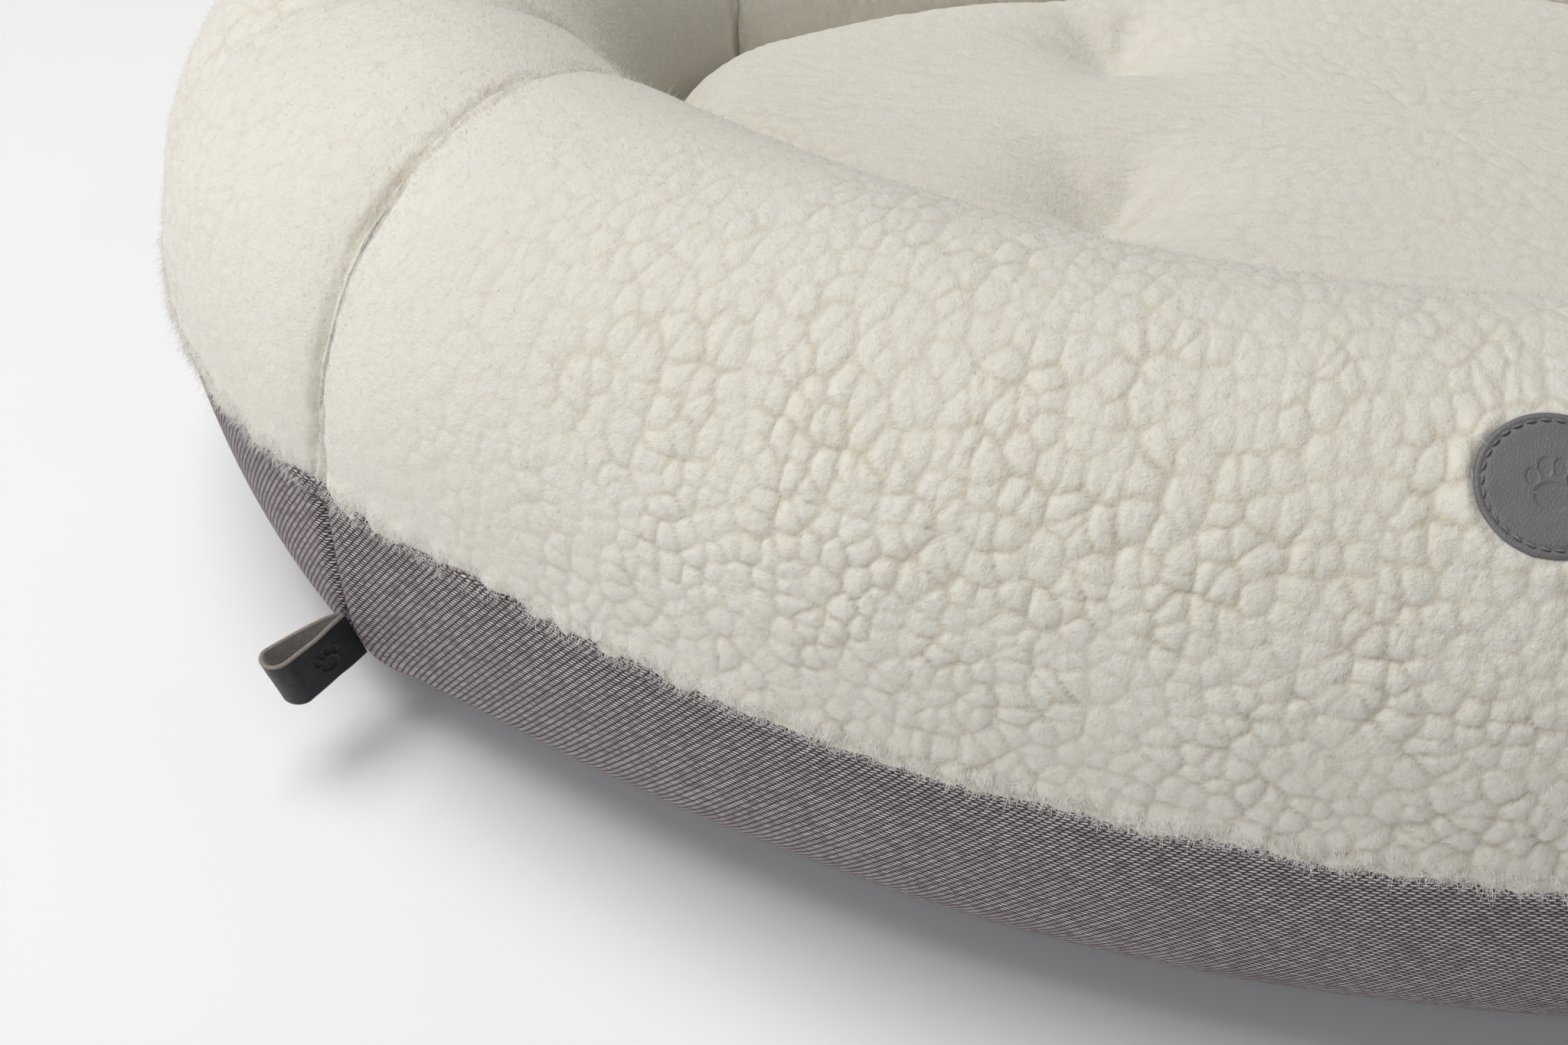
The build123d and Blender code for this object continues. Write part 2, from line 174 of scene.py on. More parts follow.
CREST_RISE = RIM_HEIGHT - SEAM_HEIGHT
CREST_RADIUS = short_radius(SHOULDER_RADIUS, CREST_RISE, CREST_IN)
SHOULDER_TURN = degrees(atan2(CREST_RISE - CREST_RADIUS, SHOULDER_RADIUS - CREST_IN))
INNER_RUN = RIM_IN - CREST_IN
INNER_CREST_RADIUS = short_radius(INNER_RADIUS, INNER_DROP, INNER_RUN)
INNER_TURN = degrees(atan2(INNER_DROP - INNER_CREST_RADIUS, INNER_RADIUS - INNER_RUN))
TUCK_RADIUS = short_radius(BAND_RADIUS, SEAM_HEIGHT, BAND_RUN)
TUCK_TURN = degrees(atan2(SEAM_HEIGHT - TUCK_RADIUS, BAND_RADIUS - BAND_RUN))
BAND_END = radians(TUCK_TURN) * BAND_RADIUS + radians(90 - TUCK_TURN) * TUCK_RADIUS


# ---------------------------------------------------------------- noise

def hashed(i, j, seed):
    """A repeatable random number from 0 to 1 for each whole-number pair."""
    h = (i.astype(np.int64) * 73856093) ^ (j.astype(np.int64) * 19349663) ^ (seed * 83492791)
    h = (h ^ (h >> 13)) * 1274126177 & 0x7FFFFFFF
    h = (h ^ (h >> 16)) * 668265263 & 0x7FFFFFFF
    return (h ^ (h >> 15)) / float(0x7FFFFFFF)


def ease(t):
    """Smooth step from 0 to 1."""
    t = np.clip(t, 0, 1)
    return t * t * (3 - 2 * t)


def value_noise(x, y, seed):
    """Smooth noise from -1 to 1 with one lump per unit."""
    i = np.floor(x)
    j = np.floor(y)
    u = ease(x - i)
    v = ease(y - j)
    low = hashed(i, j, seed) * (1 - u) + hashed(i + 1, j, seed) * u
    high = hashed(i, j + 1, seed) * (1 - u) + hashed(i + 1, j + 1, seed) * u
    return 2 * (low * (1 - v) + high * v) - 1


def line_noise(x, size, seed):
    """Smooth noise from -1 to 1 that changes along x only."""
    return value_noise(x / size, x * 0, seed)


def bell(x, width):
    """A smooth bump, 1 where x is 0."""
    return np.exp(-((x / width) ** 2))


def cell_edge(x, y, seed):
    """For irregular cells of one unit: how far off the nearest border and the centre are, and a tone."""
    i0 = np.floor(x)
    j0 = np.floor(y)
    best = np.full(x.shape, 9.0)
    near_x = near_y = tone = best
    spots = []
    for di in (-1, 0, 1):
        for dj in (-1, 0, 1):
            i = i0 + di
            j = j0 + dj
            px = i + 0.5 + CELL_JITTER * (hashed(i, j, seed) - 0.5)
            py = j + 0.5 + CELL_JITTER * (hashed(i, j, seed + 7) - 0.5)
            dist = (px - x) ** 2 + (py - y) ** 2
            closer = dist < best
            best = np.where(closer, dist, best)
            near_x = np.where(closer, px, near_x)
            near_y = np.where(closer, py, near_y)
            tone = np.where(closer, hashed(i, j, seed + 13), tone)
            spots.append((px, py, dist))
    edge = np.full(x.shape, 9.0)
    for px, py, dist in spots:
        gap = np.hypot(px - near_x, py - near_y)
        edge = np.minimum(edge, np.where(gap < 1e-6, 9.0, (dist - best) / (2 * np.maximum(gap, 1e-6))))
    return edge, np.sqrt(best), tone


def curls(x, y, seed, size=CURL):
    """Height of curled pile, 0 in the creases to 1 on the curls, and how much painted shade each crease
    gets.
    """
    a = x / size
    b = y / size
    bend_a = 0.26 * value_noise(a / 2.3, b / 2.3, seed + 1)
    bend_a = bend_a + 0.12 * value_noise(a * 1.7, b * 1.7, seed + 2)
    bend_b = 0.26 * value_noise(b / 2.1, a / 2.1, seed + 3)
    bend_b = bend_b + 0.12 * value_noise(b * 1.7, a * 1.7, seed + 4)
    edge, centre, tone = cell_edge(a + bend_a, b + bend_b, seed)
    dome = 1 - (centre / 0.62) ** 2
    valley = (1 - np.clip(edge / 0.30, 0, 1)) ** 2
    strong = 0.45 + 0.55 * ease(0.5 + 0.8 * value_noise(a / 1.6, b / 1.6, seed + 5))
    small_edge, small_centre, _ = cell_edge(a * 2.1 + 2 * bend_b + 3.3, b * 2.1 + 2 * bend_a, seed + 21)
    grain = value_noise(a * 5.3, b * 5.3, seed + 6)
    height = (0.75 * dome - 0.6 * valley) * strong - 0.22 * small_centre**2 - 0.08 * (1 - small_edge) ** 6
    height += 0.25 * (tone - 0.5) * (1 - valley) + 0.04 * grain
    deep = ease((centre - 0.2) / 0.4)
    # Painted shade: how dark each crease is painted, strongest in deep, lively creases.
    crease = bell(edge, 0.11) * strong * (0.35 + 0.65 * deep)
    return height, np.clip(crease + 0.15 * bell(small_edge, 0.12), 0, 1)


# ---------------------------------------------------------------- sections

def section(runs, wall_to, steps):
    """Points along arcs (centre in, centre height, radius, from angle, to angle), then down a wall.

    Gives the run length, the distance in, the height and the angle of the outward normal.
    """
    parts = []
    done = 0
    for centre_in, centre_z, radius, start, end in runs:
        run = abs(radians(end - start)) * radius
        count = max(2, round(run / steps))
        share = np.arange(count) / count
        angle = np.radians(start + (end - start) * share)
        ins = centre_in - radius * np.cos(angle)
        parts.append((done + run * share, ins, centre_z + radius * np.sin(angle), angle))
        done += run
    last = radians(end)
    last_in = centre_in - radius * cos(last)
    last_z = centre_z + radius * sin(last)
    wall = 0 if wall_to is None else last_z - wall_to
    count = max(1, round(wall / (2 * steps)))
    share = np.arange(count + 1) / count if wall else np.zeros(1)
    level = np.ones(share.shape)
    parts.append((done + wall * share, last_in * level, last_z - wall * share, last * level))
    return tuple(np.concatenate(part) for part in zip(*parts))


def fleece_section(step):
    """From just under the band's folded edge, over the crest and down to the nest's floor."""
    under = degrees(6 * MM / SHOULDER_RADIUS)
    runs = [
        (SHOULDER_RADIUS, SEAM_HEIGHT, SHOULDER_RADIUS, -under, SHOULDER_TURN),
        (CREST_IN, RIM_HEIGHT - CREST_RADIUS, CREST_RADIUS, SHOULDER_TURN, 90),
        (CREST_IN, RIM_HEIGHT - INNER_CREST_RADIUS, INNER_CREST_RADIUS, 90, 180 - INNER_TURN),
        (RIM_IN - INNER_RADIUS, RIM_HEIGHT - INNER_DROP, INNER_RADIUS, 180 - INNER_TURN, 180),
    ]
    return section(runs, FLOOR_TOP, step)


def band_section(step):
    """From the fleece seam down to where the underside turns flat."""
    runs = [
        (BAND_IN + BAND_RADIUS, SEAM_HEIGHT, BAND_RADIUS, 0, -TUCK_TURN),
        (BAND_IN + BAND_RUN, TUCK_RADIUS, TUCK_RADIUS, -TUCK_TURN, -90),
    ]
    return section(runs, None, step)


def columns(panel, step, multiple=1):
    """Angles of the columns of a panel, seam to seam."""
    _, radius, start, sweep = PANELS[panel]
    count = round(radians(sweep) * radius / step / multiple) * multiple
    return np.radians(start + sweep * np.arange(count + 1) / count)


def trim_rows(parts, multiple):
    """Drop rows just before the last one, until the rows fit the coarse backing."""
    rows = len(parts[0])
    extra = (rows - 1) % multiple
    keep = np.concatenate([np.arange(rows - 1 - extra), [rows - 1]]) if extra else np.arange(rows)
    return [part[keep] for part in parts]


def place(panel, theta, ins, heights, angles, lift):
    """Points of a grid (column, row), moved along the normal by lift."""
    (centre_x, centre_y), radius, _, _ = PANELS[panel]
    turn = theta[:, None]
    out = radius - ins + np.cos(angles) * lift
    z = heights + np.sin(angles) * lift
    z = np.broadcast_to(z, (len(theta), len(ins)))
    return np.stack([centre_x + out * np.cos(turn), centre_y + out * np.sin(turn), z], axis=-1)


def seam_distance(panel, theta, ins):
    """How far each grid point is from the panel's start seam and from its end seam."""
    _, radius, start, sweep = PANELS[panel]
    reach = (radius - ins)[None, :]
    first = (theta - radians(start))[:, None] * reach
    last = (radians(start + sweep) - theta)[:, None] * reach
    return first, last


# ---------------------------------------------------------------- meshes

def grid_quads(columns_count, rows_count, first=0, flip=False):
    """Faces of a grid whose points run row by row within each column."""
    c = np.arange(columns_count - 1)[:, None]
    r = np.arange(rows_count - 1)[None, :]
    a = (c * rows_count + r + first).ravel()
    quads = np.stack([a, a + rows_count, a + rows_count + 1, a + 1], axis=1)
    return quads[:, ::-1] if flip else quads


def ring_quads(index, inward=False):
    """Faces between closed rings, from an array of point numbers (ring, place)."""
    ahead = np.roll(index, -1, axis=1)
    corners = [index[:-1], ahead[:-1], ahead[1:], index[1:]]
    if inward:
        corners = [index[:-1], index[1:], ahead[1:], ahead[:-1]]
    return np.stack(corners, axis=-1).reshape(-1, 4)


def fan(ring, middle):
    """Triangles from one ring of point numbers to a point in its middle."""
    return np.stack([ring, np.roll(ring, -1), np.full(len(ring), middle)], axis=1)


def new_mesh(name, points, faces, materials, smooth=True):
    """A mesh object from an array of points and a list of arrays of faces, one array per corner count."""
    mesh = bpy.data.meshes.new(name)
    faces = [np.atleast_2d(np.asarray(part)) for part in faces]
    corners = np.concatenate([part.ravel() for part in faces]).astype(np.int32)
    totals = np.concatenate([np.full(len(part), part.shape[1]) for part in faces])
    starts = np.concatenate([[0], np.cumsum(totals)[:-1]]).astype(np.int32)
    mesh.vertices.add(len(points))
    mesh.vertices.foreach_set("co", np.asarray(points, dtype=np.float32).ravel())
    mesh.loops.add(len(corners))
    mesh.loops.foreach_set("vertex_index", corners)
    mesh.polygons.add(len(totals))
    mesh.polygons.foreach_set("loop_start", starts)
    mesh.polygons.foreach_set("use_smooth", np.full(len(totals), smooth))
    mesh.update(calc_edges=True)
    mesh.validate()
    for item in materials:
        mesh.materials.append(item)
    obj = bpy.data.objects.new(name, mesh)
    bpy.context.scene.collection.objects.link(obj)
    return obj


def point_value(obj, name, values):
    """Store one number per point, for the material to read."""
    layer = obj.data.attributes.new(name, "FLOAT", "POINT")
    layer.data.foreach_set("value", np.asarray(values, dtype=np.float32).ravel())


def cloth_map(obj, flat_points):
    """Store where each point lies on the flat cloth, in metres."""
    layer = obj.data.uv_layers.new(name="cloth")
    corners = np.zeros(len(obj.data.loops), dtype=np.int32)
    obj.data.loops.foreach_get("vertex_index", corners)
    layer.data.foreach_set("uv", np.asarray(flat_points, dtype=np.float32)[corners].ravel())


def backed_grid(name, front, back, ratio, material):
    """A closed form: a fine front grid, a coarse back grid, and one face per coarse step between them."""
    coarse = back[::ratio, ::ratio]
    base = front.shape[0] * front.shape[1]
    quads = [grid_quads(*front.shape[:2]), grid_quads(*coarse.shape[:2], base, flip=True)]
    near = np.arange(base).reshape(front.shape[:2])
    far = base + np.arange(coarse.shape[0] * coarse.shape[1]).reshape(coarse.shape[:2])
    sides = [
        (near[0], far[0], 1), (near[-1], far[-1], -1),
        (near[:, 0], far[:, 0], -1), (near[:, -1], far[:, -1], 1),
    ]
    rim = []
    for fine, rough, way in sides:
        for step in range(len(rough) - 1):
            run = fine[step * ratio: (step + 1) * ratio + 1]
            rim.append(np.concatenate([run, rough[[step + 1, step]]])[::way])
    points = np.concatenate([front.reshape(-1, 3), coarse.reshape(-1, 3)])
    return new_mesh(name, points, [np.concatenate(quads), np.stack(rim)], [material])


def cloth_shell(name, front, back, material, keep):
    """A thin closed sheet from two equal grids. Where keep is false there is an opening."""
    cols, rows = front.shape[:2]
    count = cols * rows
    kept = keep.ravel()
    quads = [grid_quads(cols, rows)[kept], grid_quads(cols, rows, count, flip=True)[kept]]
    padded = np.pad(keep, 1)
    centre = padded[1:-1, 1:-1]
    sides = [
        (padded[:-2, 1:-1], 0, 1), (padded[2:, 1:-1], rows + 1, rows),
        (padded[1:-1, :-2], rows, 0), (padded[1:-1, 2:], 1, rows + 1),
    ]
    for beyond, start, end in sides:
        c, r = np.nonzero(centre & ~beyond)
        a = c * rows + r + start
        b = c * rows + r + end
        quads.append(np.stack([a, b, b + count, a + count], axis=1))
    points = np.concatenate([front.reshape(-1, 3), back.reshape(-1, 3)])
    used, quads = np.unique(np.concatenate(quads), return_inverse=True)
    obj = new_mesh(name, points[used], [quads.reshape(-1, 4)], [material])
    return obj, used


# ---------------------------------------------------------------- materials

class Shade:
    """A node material, built one node at a time."""

    def __init__(self, name):
        self.material = bpy.data.materials.new(name)
        self.material.use_nodes = True
        self.tree = self.material.node_tree
        self.tree.nodes.clear()
        output = self.tree.nodes.new("ShaderNodeOutputMaterial")
        self.surface = self.tree.nodes.new("ShaderNodeBsdfPrincipled")
        self.tree.links.new(self.surface.outputs[0], output.inputs[0])

    def put(self, socket, value):
        """Link an output to a socket, or set the socket to a constant."""
        if isinstance(value, bpy.types.NodeSocket):
            self.tree.links.new(value, socket)
        else:
            socket.default_value = value

    def set(self, **values):
        """Set inputs of the surface, such as Base_Color=..."""
        for name, value in values.items():
            self.put(self.surface.inputs[name.replace("_", " ")], value)

    def math(self, operation, a, b=0.0, clamp=False):
        node = self.tree.nodes.new("ShaderNodeMath")
        node.operation = operation
        node.use_clamp = clamp
        self.put(node.inputs[0], a)
        self.put(node.inputs[1], b)
        return node.outputs[0]

    def plus(self, a, b, clamp=False):
        return self.math("ADD", a, b, clamp)

    def less(self, a, b):
        return self.math("SUBTRACT", a, b)

    def times(self, a, b):
        return self.math("MULTIPLY", a, b)

    def wave(self, value, turn):
        """Sine of the value times turn."""
        return self.math("SINE", self.times(value, turn))

    def attribute(self, name):
        node = self.tree.nodes.new("ShaderNodeAttribute")
        node.attribute_name = name
        return node.outputs["Fac"]

    def place(self):
        """Position in the shared frame."""
        return self.tree.nodes.new("ShaderNodeTexCoord").outputs["Object"]

    def cloth(self):
        """Position on the flat cloth, as two numbers."""
        uv = self.tree.nodes.new("ShaderNodeUVMap")
        uv.uv_map = "cloth"
        return self.split(uv.outputs[0])[:2]

    def split(self, vector):
        node = self.tree.nodes.new("ShaderNodeSeparateXYZ")
        self.put(node.inputs[0], vector)
        return node.outputs[:]

    def join(self, x, y, z=0.0):
        node = self.tree.nodes.new("ShaderNodeCombineXYZ")
        for socket, value in zip(node.inputs, (x, y, z)):
            self.put(socket, value)
        return node.outputs[0]

    def noise(self, vector, scale, detail=2.0, roughness=0.5):
        node = self.tree.nodes.new("ShaderNodeTexNoise")
        self.put(node.inputs["Vector"], vector)
        node.inputs["Scale"].default_value = scale
        node.inputs["Detail"].default_value = detail
        node.inputs["Roughness"].default_value = roughness
        return node.outputs["Fac"]

    def cell_noise(self, vector):
        node = self.tree.nodes.new("ShaderNodeTexWhiteNoise")
        node.noise_dimensions = "3D"
        self.put(node.inputs["Vector"], vector)
        return node.outputs["Value"]

    def voronoi(self, vector, scale, feature="F1"):
        node = self.tree.nodes.new("ShaderNodeTexVoronoi")
        node.feature = feature
        self.put(node.inputs["Vector"], vector)
        node.inputs["Scale"].default_value = scale
        return node.outputs["Distance"]

    def mix(self, share, first, second):
        """Blend two colours."""
        node = self.tree.nodes.new("ShaderNodeMix")
        node.data_type = "RGBA"
        self.put(node.inputs[0], share)
        self.put(node.inputs[6], first)
        self.put(node.inputs[7], second)
        return node.outputs[2]

    def range(self, value, low, high, to_low=0.0, to_high=1.0):
        node = self.tree.nodes.new("ShaderNodeMapRange")
        for socket, item in zip(node.inputs, (value, low, high, to_low, to_high)):
            self.put(socket, item)
        return node.outputs[0]

    def bump(self, height, depth, under=None):
        """Raise the surface by depth metres where height is 1."""
        node = self.tree.nodes.new("ShaderNodeBump")
        node.inputs["Distance"].default_value = depth
        self.put(node.inputs["Height"], height)
        if under is not None:
            self.put(node.inputs["Normal"], under)
        return node.outputs[0]


def rgb(red, green, blue):
    """A colour given in display values from 0 to 255."""
    shares = [v / 255 for v in (red, green, blue)]
    linear = [((v + 0.055) / 1.055) ** 2.4 if v > 0.04 else v / 12.92 for v in shares]
    return (*linear, 1.0)


def sherpa(name):
    """Cream pile with painted shade, warmer and darker, in the creases, and fine fibres on the curls."""
    s = Shade(name)
    shade = s.math("POWER", s.attribute("crease"), 0.9, clamp=True)
    spot = s.place()
    cream = s.mix(s.noise(spot, 14.0), rgb(230, 227, 217), rgb(239, 236, 228))
    # Painted shade: the crease value blends the cream towards a darker tan in the creases.
    colour = s.mix(s.times(shade, 0.55), cream, rgb(194, 180, 150))
    fibre = s.noise(spot, 1500.0, 4.0, 0.7)
    tuft = s.noise(spot, 420.0, 3.0, 0.65)
    colour = s.mix(s.range(fibre, 0.3, 0.75, 0.12, 0.0), colour, rgb(206, 197, 176))
    s.set(Base_Color=colour, Roughness=0.95, Specular_IOR_Level=0.15)
    s.set(Sheen_Weight=0.6, Sheen_Roughness=0.6, Sheen_Tint=rgb(250, 246, 238))
    s.set(Subsurface_Weight=0.6, Subsurface_Radius=(1.0, 0.8, 0.6), Subsurface_Scale=3.5 * MM)
    s.set(Normal=s.bump(fibre, 0.45 * MM, s.bump(tuft, 1.0 * MM)))
    return s.material


def fibre(name, low, high):
    """Loose fibre: pale and soft, each a little different."""
    s = Shade(name)
    s.set(Base_Color=s.mix(s.noise(s.place(), 700.0), low, high), Roughness=0.9, Specular_IOR_Level=0.1)
    s.set(Sheen_Weight=0.6, Sheen_Roughness=0.5, Sheen_Tint=high)
    return s.material


def twill(name, dark):
    """Melange twill: floats along slanted wales, each float in its own tone, painted shade in the gaps
    between.
    """
    s = Shade(name)
    x, y = s.cloth()
    flat = s.join(x, y)
    wander = s.less(s.noise(flat, 260.0), 0.5)
    x = s.plus(x, s.times(wander, 0.5 * MM))
    rise = radians(WALE_RISE)
    across = s.less(s.times(y, cos(rise) / WALE), s.times(x, sin(rise) / WALE))
    wale = s.math("FLOOR", across)
    part = s.less(across, wale)
    along = s.plus(s.times(x, cos(rise) / FLOAT_RUN), s.times(y, sin(rise) / FLOAT_RUN))
    along = s.plus(s.plus(along, s.times(wale, 0.37)), s.times(part, FLOAT_LEAN))
    step = s.math("FLOOR", along)
    lump = s.math("POWER", s.wave(s.less(along, step), pi), 1.3)
    lump = s.plus(s.times(lump, 0.95), 0.05)
    height = s.times(s.math("POWER", s.wave(part, pi), 0.5), lump)
    tone = s.cell_noise(s.join(step, wale))
    strand = s.noise(s.join(s.plus(x, y), s.less(y, x)), 2600.0)
    shade = s.plus(s.times(tone, 0.75), s.times(strand, 0.35), clamp=True)
    yarn = s.mix(shade, dark, rgb(246, 238, 241))
    worn = s.noise(flat, 30.0, 3.0)
    yarn = s.mix(s.range(worn, 0.35, 0.7, 0.0, 0.22), yarn, rgb(190, 180, 180))
    # Painted shade: a near-black colour in the low gaps between floats and wales.
    gap = s.range(height, 0.32, 0.88, 1.0, 0.0)
    s.set(Base_Color=s.mix(gap, yarn, rgb(46, 36, 36)), Roughness=0.9)
    s.set(Sheen_Weight=0.25, Sheen_Roughness=0.5, Sheen_Tint=rgb(220, 212, 212), Specular_IOR_Level=0.2)
    s.set(Normal=s.bump(s.plus(height, s.times(strand, 0.25)), 0.45 * MM))
    return s.material


def leather(name, low, high, rough, scale=900.0):
    """Pebbled leather face."""
    s = Shade(name)
    spot = s.place()
    grain = s.range(s.voronoi(spot, scale, "DISTANCE_TO_EDGE"), 0.0, 0.25)
    soft = s.noise(spot, 160.0, 3.0)
    s.set(Base_Color=s.mix(soft, low, high), Specular_IOR_Level=0.35)
    s.set(Roughness=s.range(s.noise(spot, 350.0, 3.0), 0.3, 0.7, rough - 0.08, rough + 0.1))
    s.set(Normal=s.bump(grain, 0.06 * MM, s.bump(soft, 0.2 * MM)))
    return s.material


def raw_leather(name, low, high):
    """Fibrous flesh side or cut edge."""
    s = Shade(name)
    fibre = s.noise(s.place(), 1400.0, 5.0, 0.75)
    s.set(Base_Color=s.mix(s.range(fibre, 0.3, 0.7), low, high), Roughness=0.95)
    s.set(Sheen_Weight=0.3, Sheen_Roughness=0.5, Specular_IOR_Level=0.1)
    s.set(Normal=s.bump(fibre, 0.35 * MM))
    return s.material


def plain_cloth(name, low, high, pitch):
    """Plain weave by position: threads crossing at right angles."""
    s = Shade(name)
    spot = s.place()
    x, y, z = s.split(spot)
    warp = s.wave(s.plus(x, z), tau / pitch)
    weft = s.wave(s.plus(y, z), tau / pitch)
    height = s.plus(s.times(s.times(warp, weft), 0.5), 0.5)
    cloud = s.noise(spot, 60.0, 3.0)
    s.set(Base_Color=s.mix(s.times(s.plus(height, cloud), 0.5), low, high), Roughness=0.9)
    s.set(Sheen_Weight=0.15, Specular_IOR_Level=0.2, Normal=s.bump(height, 0.12 * MM))
    return s.material


def fluffy(name, low, high, scale):
    """Loose fibre or foam: tangled fine structure."""
    s = Shade(name)
    tangle = s.noise(s.place(), scale, 5.0, 0.7)
    s.set(Base_Color=s.mix(tangle, low, high), Roughness=0.95, Specular_IOR_Level=0.1)
    s.set(Normal=s.bump(tangle, 1.0 * MM))
    return s.material


def dotted_cloth(name):
    """Dark cloth with raised grip dots."""
    s = Shade(name)
    spot = s.place()
    dots = s.range(s.voronoi(spot, 160.0), 0.3, 0.36, 1.0, 0.0)
    weave = s.mix(s.noise(spot, 1200.0), rgb(96, 90, 88), rgb(116, 108, 106))
    s.set(Base_Color=s.mix(dots, weave, rgb(60, 58, 58)), Roughness=0.8, Normal=s.bump(dots, 0.4 * MM))
    return s.material


def thread(name, low, high):
    """Twisted sewing thread."""
    s = Shade(name)
    twist = s.noise(s.place(), 2200.0)
    s.set(Base_Color=s.mix(twist, low, high), Roughness=0.6, Specular_IOR_Level=0.3)
    s.set(Sheen_Weight=0.2, Normal=s.bump(twist, 0.12 * MM))
    return s.material


def gunmetal(name):
    """Dark plated metal with fine scratches and worn tone."""
    s = Shade(name)
    spot = s.place()
    scratch = s.noise(spot, 900.0, 4.0, 0.7)
    s.set(Base_Color=s.mix(s.noise(spot, 120.0, 3.0), rgb(120, 118, 116), rgb(158, 155, 152)), Metallic=1.0)
    s.set(Roughness=s.range(scratch, 0.3, 0.7, 0.24, 0.42), Normal=s.bump(scratch, 0.02 * MM))
    return s.material


def coil_plastic(name):
    """Nylon coil: close ribs across the zip, with painted shade in the troughs between them."""
    s = Shade(name)
    rib = s.wave(s.split(s.place())[0], tau / (1.2 * MM))
    rib = s.plus(s.times(rib, 0.5), 0.5)
    # Painted shade: the colour darkens in the troughs between the ribs.
    s.set(Base_Color=s.mix(rib, rgb(48, 44, 44), rgb(92, 86, 86)), Roughness=0.45)
    s.set(Normal=s.bump(rib, 0.5 * MM))
    return s.material


SHERPA = sherpa("sherpa")
PILE_FIBRE = fibre("pile_fibre", rgb(236, 233, 225), rgb(247, 245, 240))
TWILL_CLOTH = twill("melange_twill", rgb(156, 138, 140))
HEM_CLOTH = twill("melange_twill_fold", rgb(160, 144, 146))
DARK_LEATHER = leather("dark_leather_face", rgb(22, 28, 32), rgb(34, 40, 44), 0.42)
FLESH = raw_leather("leather_flesh", rgb(128, 125, 123), rgb(222, 218, 214))
CUT_EDGE = raw_leather("leather_cut_edge", rgb(120, 112, 104), rgb(172, 164, 154))
GREY_LEATHER = leather("grey_leather_face", rgb(104, 104, 105), rgb(116, 116, 117), 0.5, 1100.0)
THREAD = thread("grey_thread", rgb(96, 92, 92), rgb(140, 134, 134))
YARN = fibre("twill_yarn", rgb(112, 98, 100), rgb(200, 188, 190))
DARK_THREAD = thread("dark_thread", rgb(60, 54, 54), rgb(100, 92, 92))
LINING = plain_cloth("white_lining", rgb(206, 204, 198), rgb(230, 228, 222), 1.1 * MM)
TAPE = plain_cloth("zip_tape_weave", rgb(84, 78, 78), rgb(116, 108, 108), 0.9 * MM)
FILLING = fluffy("fibre_filling", rgb(226, 226, 224), rgb(246, 246, 244), 300.0)
FOAM = fluffy("open_foam", rgb(214, 204, 168), rgb(232, 224, 192), 900.0)
BASE = dotted_cloth("dotted_base")
METAL = gunmetal("gunmetal")
COIL = coil_plastic("zip_coil_ribs")


# ---------------------------------------------------------------- rim

def flat_cloth(panel, theta, lengths):
    """Where each grid point lies on the cloth: along the panel from its middle, and across it."""
    _, radius, start, sweep = PANELS[panel]
    along = (theta - radians(start + sweep / 2)) * (radius - CLOTH_IN)
    return np.broadcast_arrays(along[:, None], lengths[None, :])


def soft_waves(x, y, seed):
    """Slow rise and fall of stuffed cloth."""
    return value_noise(x / 0.13, y / 0.11, seed) + 0.5 * value_noise(x / 0.055, y / 0.06, seed + 1)


def fleece_lift(panel, theta, ins, lengths, seed):
    """How far the pile stands off the plain section, and how much painted crease shade each point gets."""
    stretch = 1 + 0.8 * ease((lengths - 0.05) / 0.08)
    x, run = flat_cloth(panel, theta, lengths)
    y = np.broadcast_to(np.cumsum(np.diff(lengths, prepend=0) / stretch), x.shape)
    height, crease = curls(x, y, seed)
    seam = np.minimum(*seam_distance(panel, theta, ins))
    calm, lively, reach = PILE[panel]
    strength = calm + (lively - calm) * ease(seam / reach)
    strength *= 1 - 0.35 * ease((run - 0.10) / 0.08)
    lift = CURL_DEPTH * height * strength
    lift += 1.6 * MM * soft_waves(x, run, seed + 31)
    crook = line_noise(run, 13 * MM, seed + 41) + 0.5 * line_noise(run, 5 * MM, seed + 42)
    wander = np.abs(seam - 1.6 * MM * (1 + crook))
    tight = 0.55 + 0.45 * line_noise(run, 26 * MM, seed + 43)
    lift -= 2.2 * MM * bell(seam, 13 * MM) + 3.6 * MM * tight * bell(wander, 2.0 * MM)
    # Painted shade: the crease shade follows the curls' strength and is laid darker along the crooked seam
    # line.
    crease = np.clip(crease * strength + tight * bell(wander, 1.3 * MM), 0, 1)
    lift -= fold_depth(panel, theta, run)
    puffed = 1 + value_noise(x / (6 * MM), run / (5 * MM), seed + 47)
    lift += 1.0 * MM * bell(run - 9 * MM, 5 * MM) * puffed
    lift -= 6.0 * MM * (1 - ease(run / (6 * MM)))
    return lift, crease


def fold_depth(panel, theta, run):
    """One soft fold across the left side, from the outside over the crest."""
    if panel != "left":
        return 0.0
    line = np.radians(FOLD_TURN + 12 * ease((run - 0.11) / 0.09))
    away = (theta[:, None] - line) * (SIDE_RADIUS - CREST_IN / 2)
    return 5.0 * MM * bell(away, 11 * MM) * ease(run / 0.05) * ease((0.27 - run) / 0.06)


def overhang(panel, theta, lengths, seed):
    """How far the pile hangs down over the folded edge, tuft by tuft."""
    x, run = flat_cloth(panel, theta, lengths)
    tuft = 1.3 * line_noise(x, 7 * MM, seed + 61) + 0.9 * line_noise(x, 3 * MM, seed + 63)
    return (2.4 + tuft) * MM * (1 - ease((run - 4 * MM) / (12 * MM)))


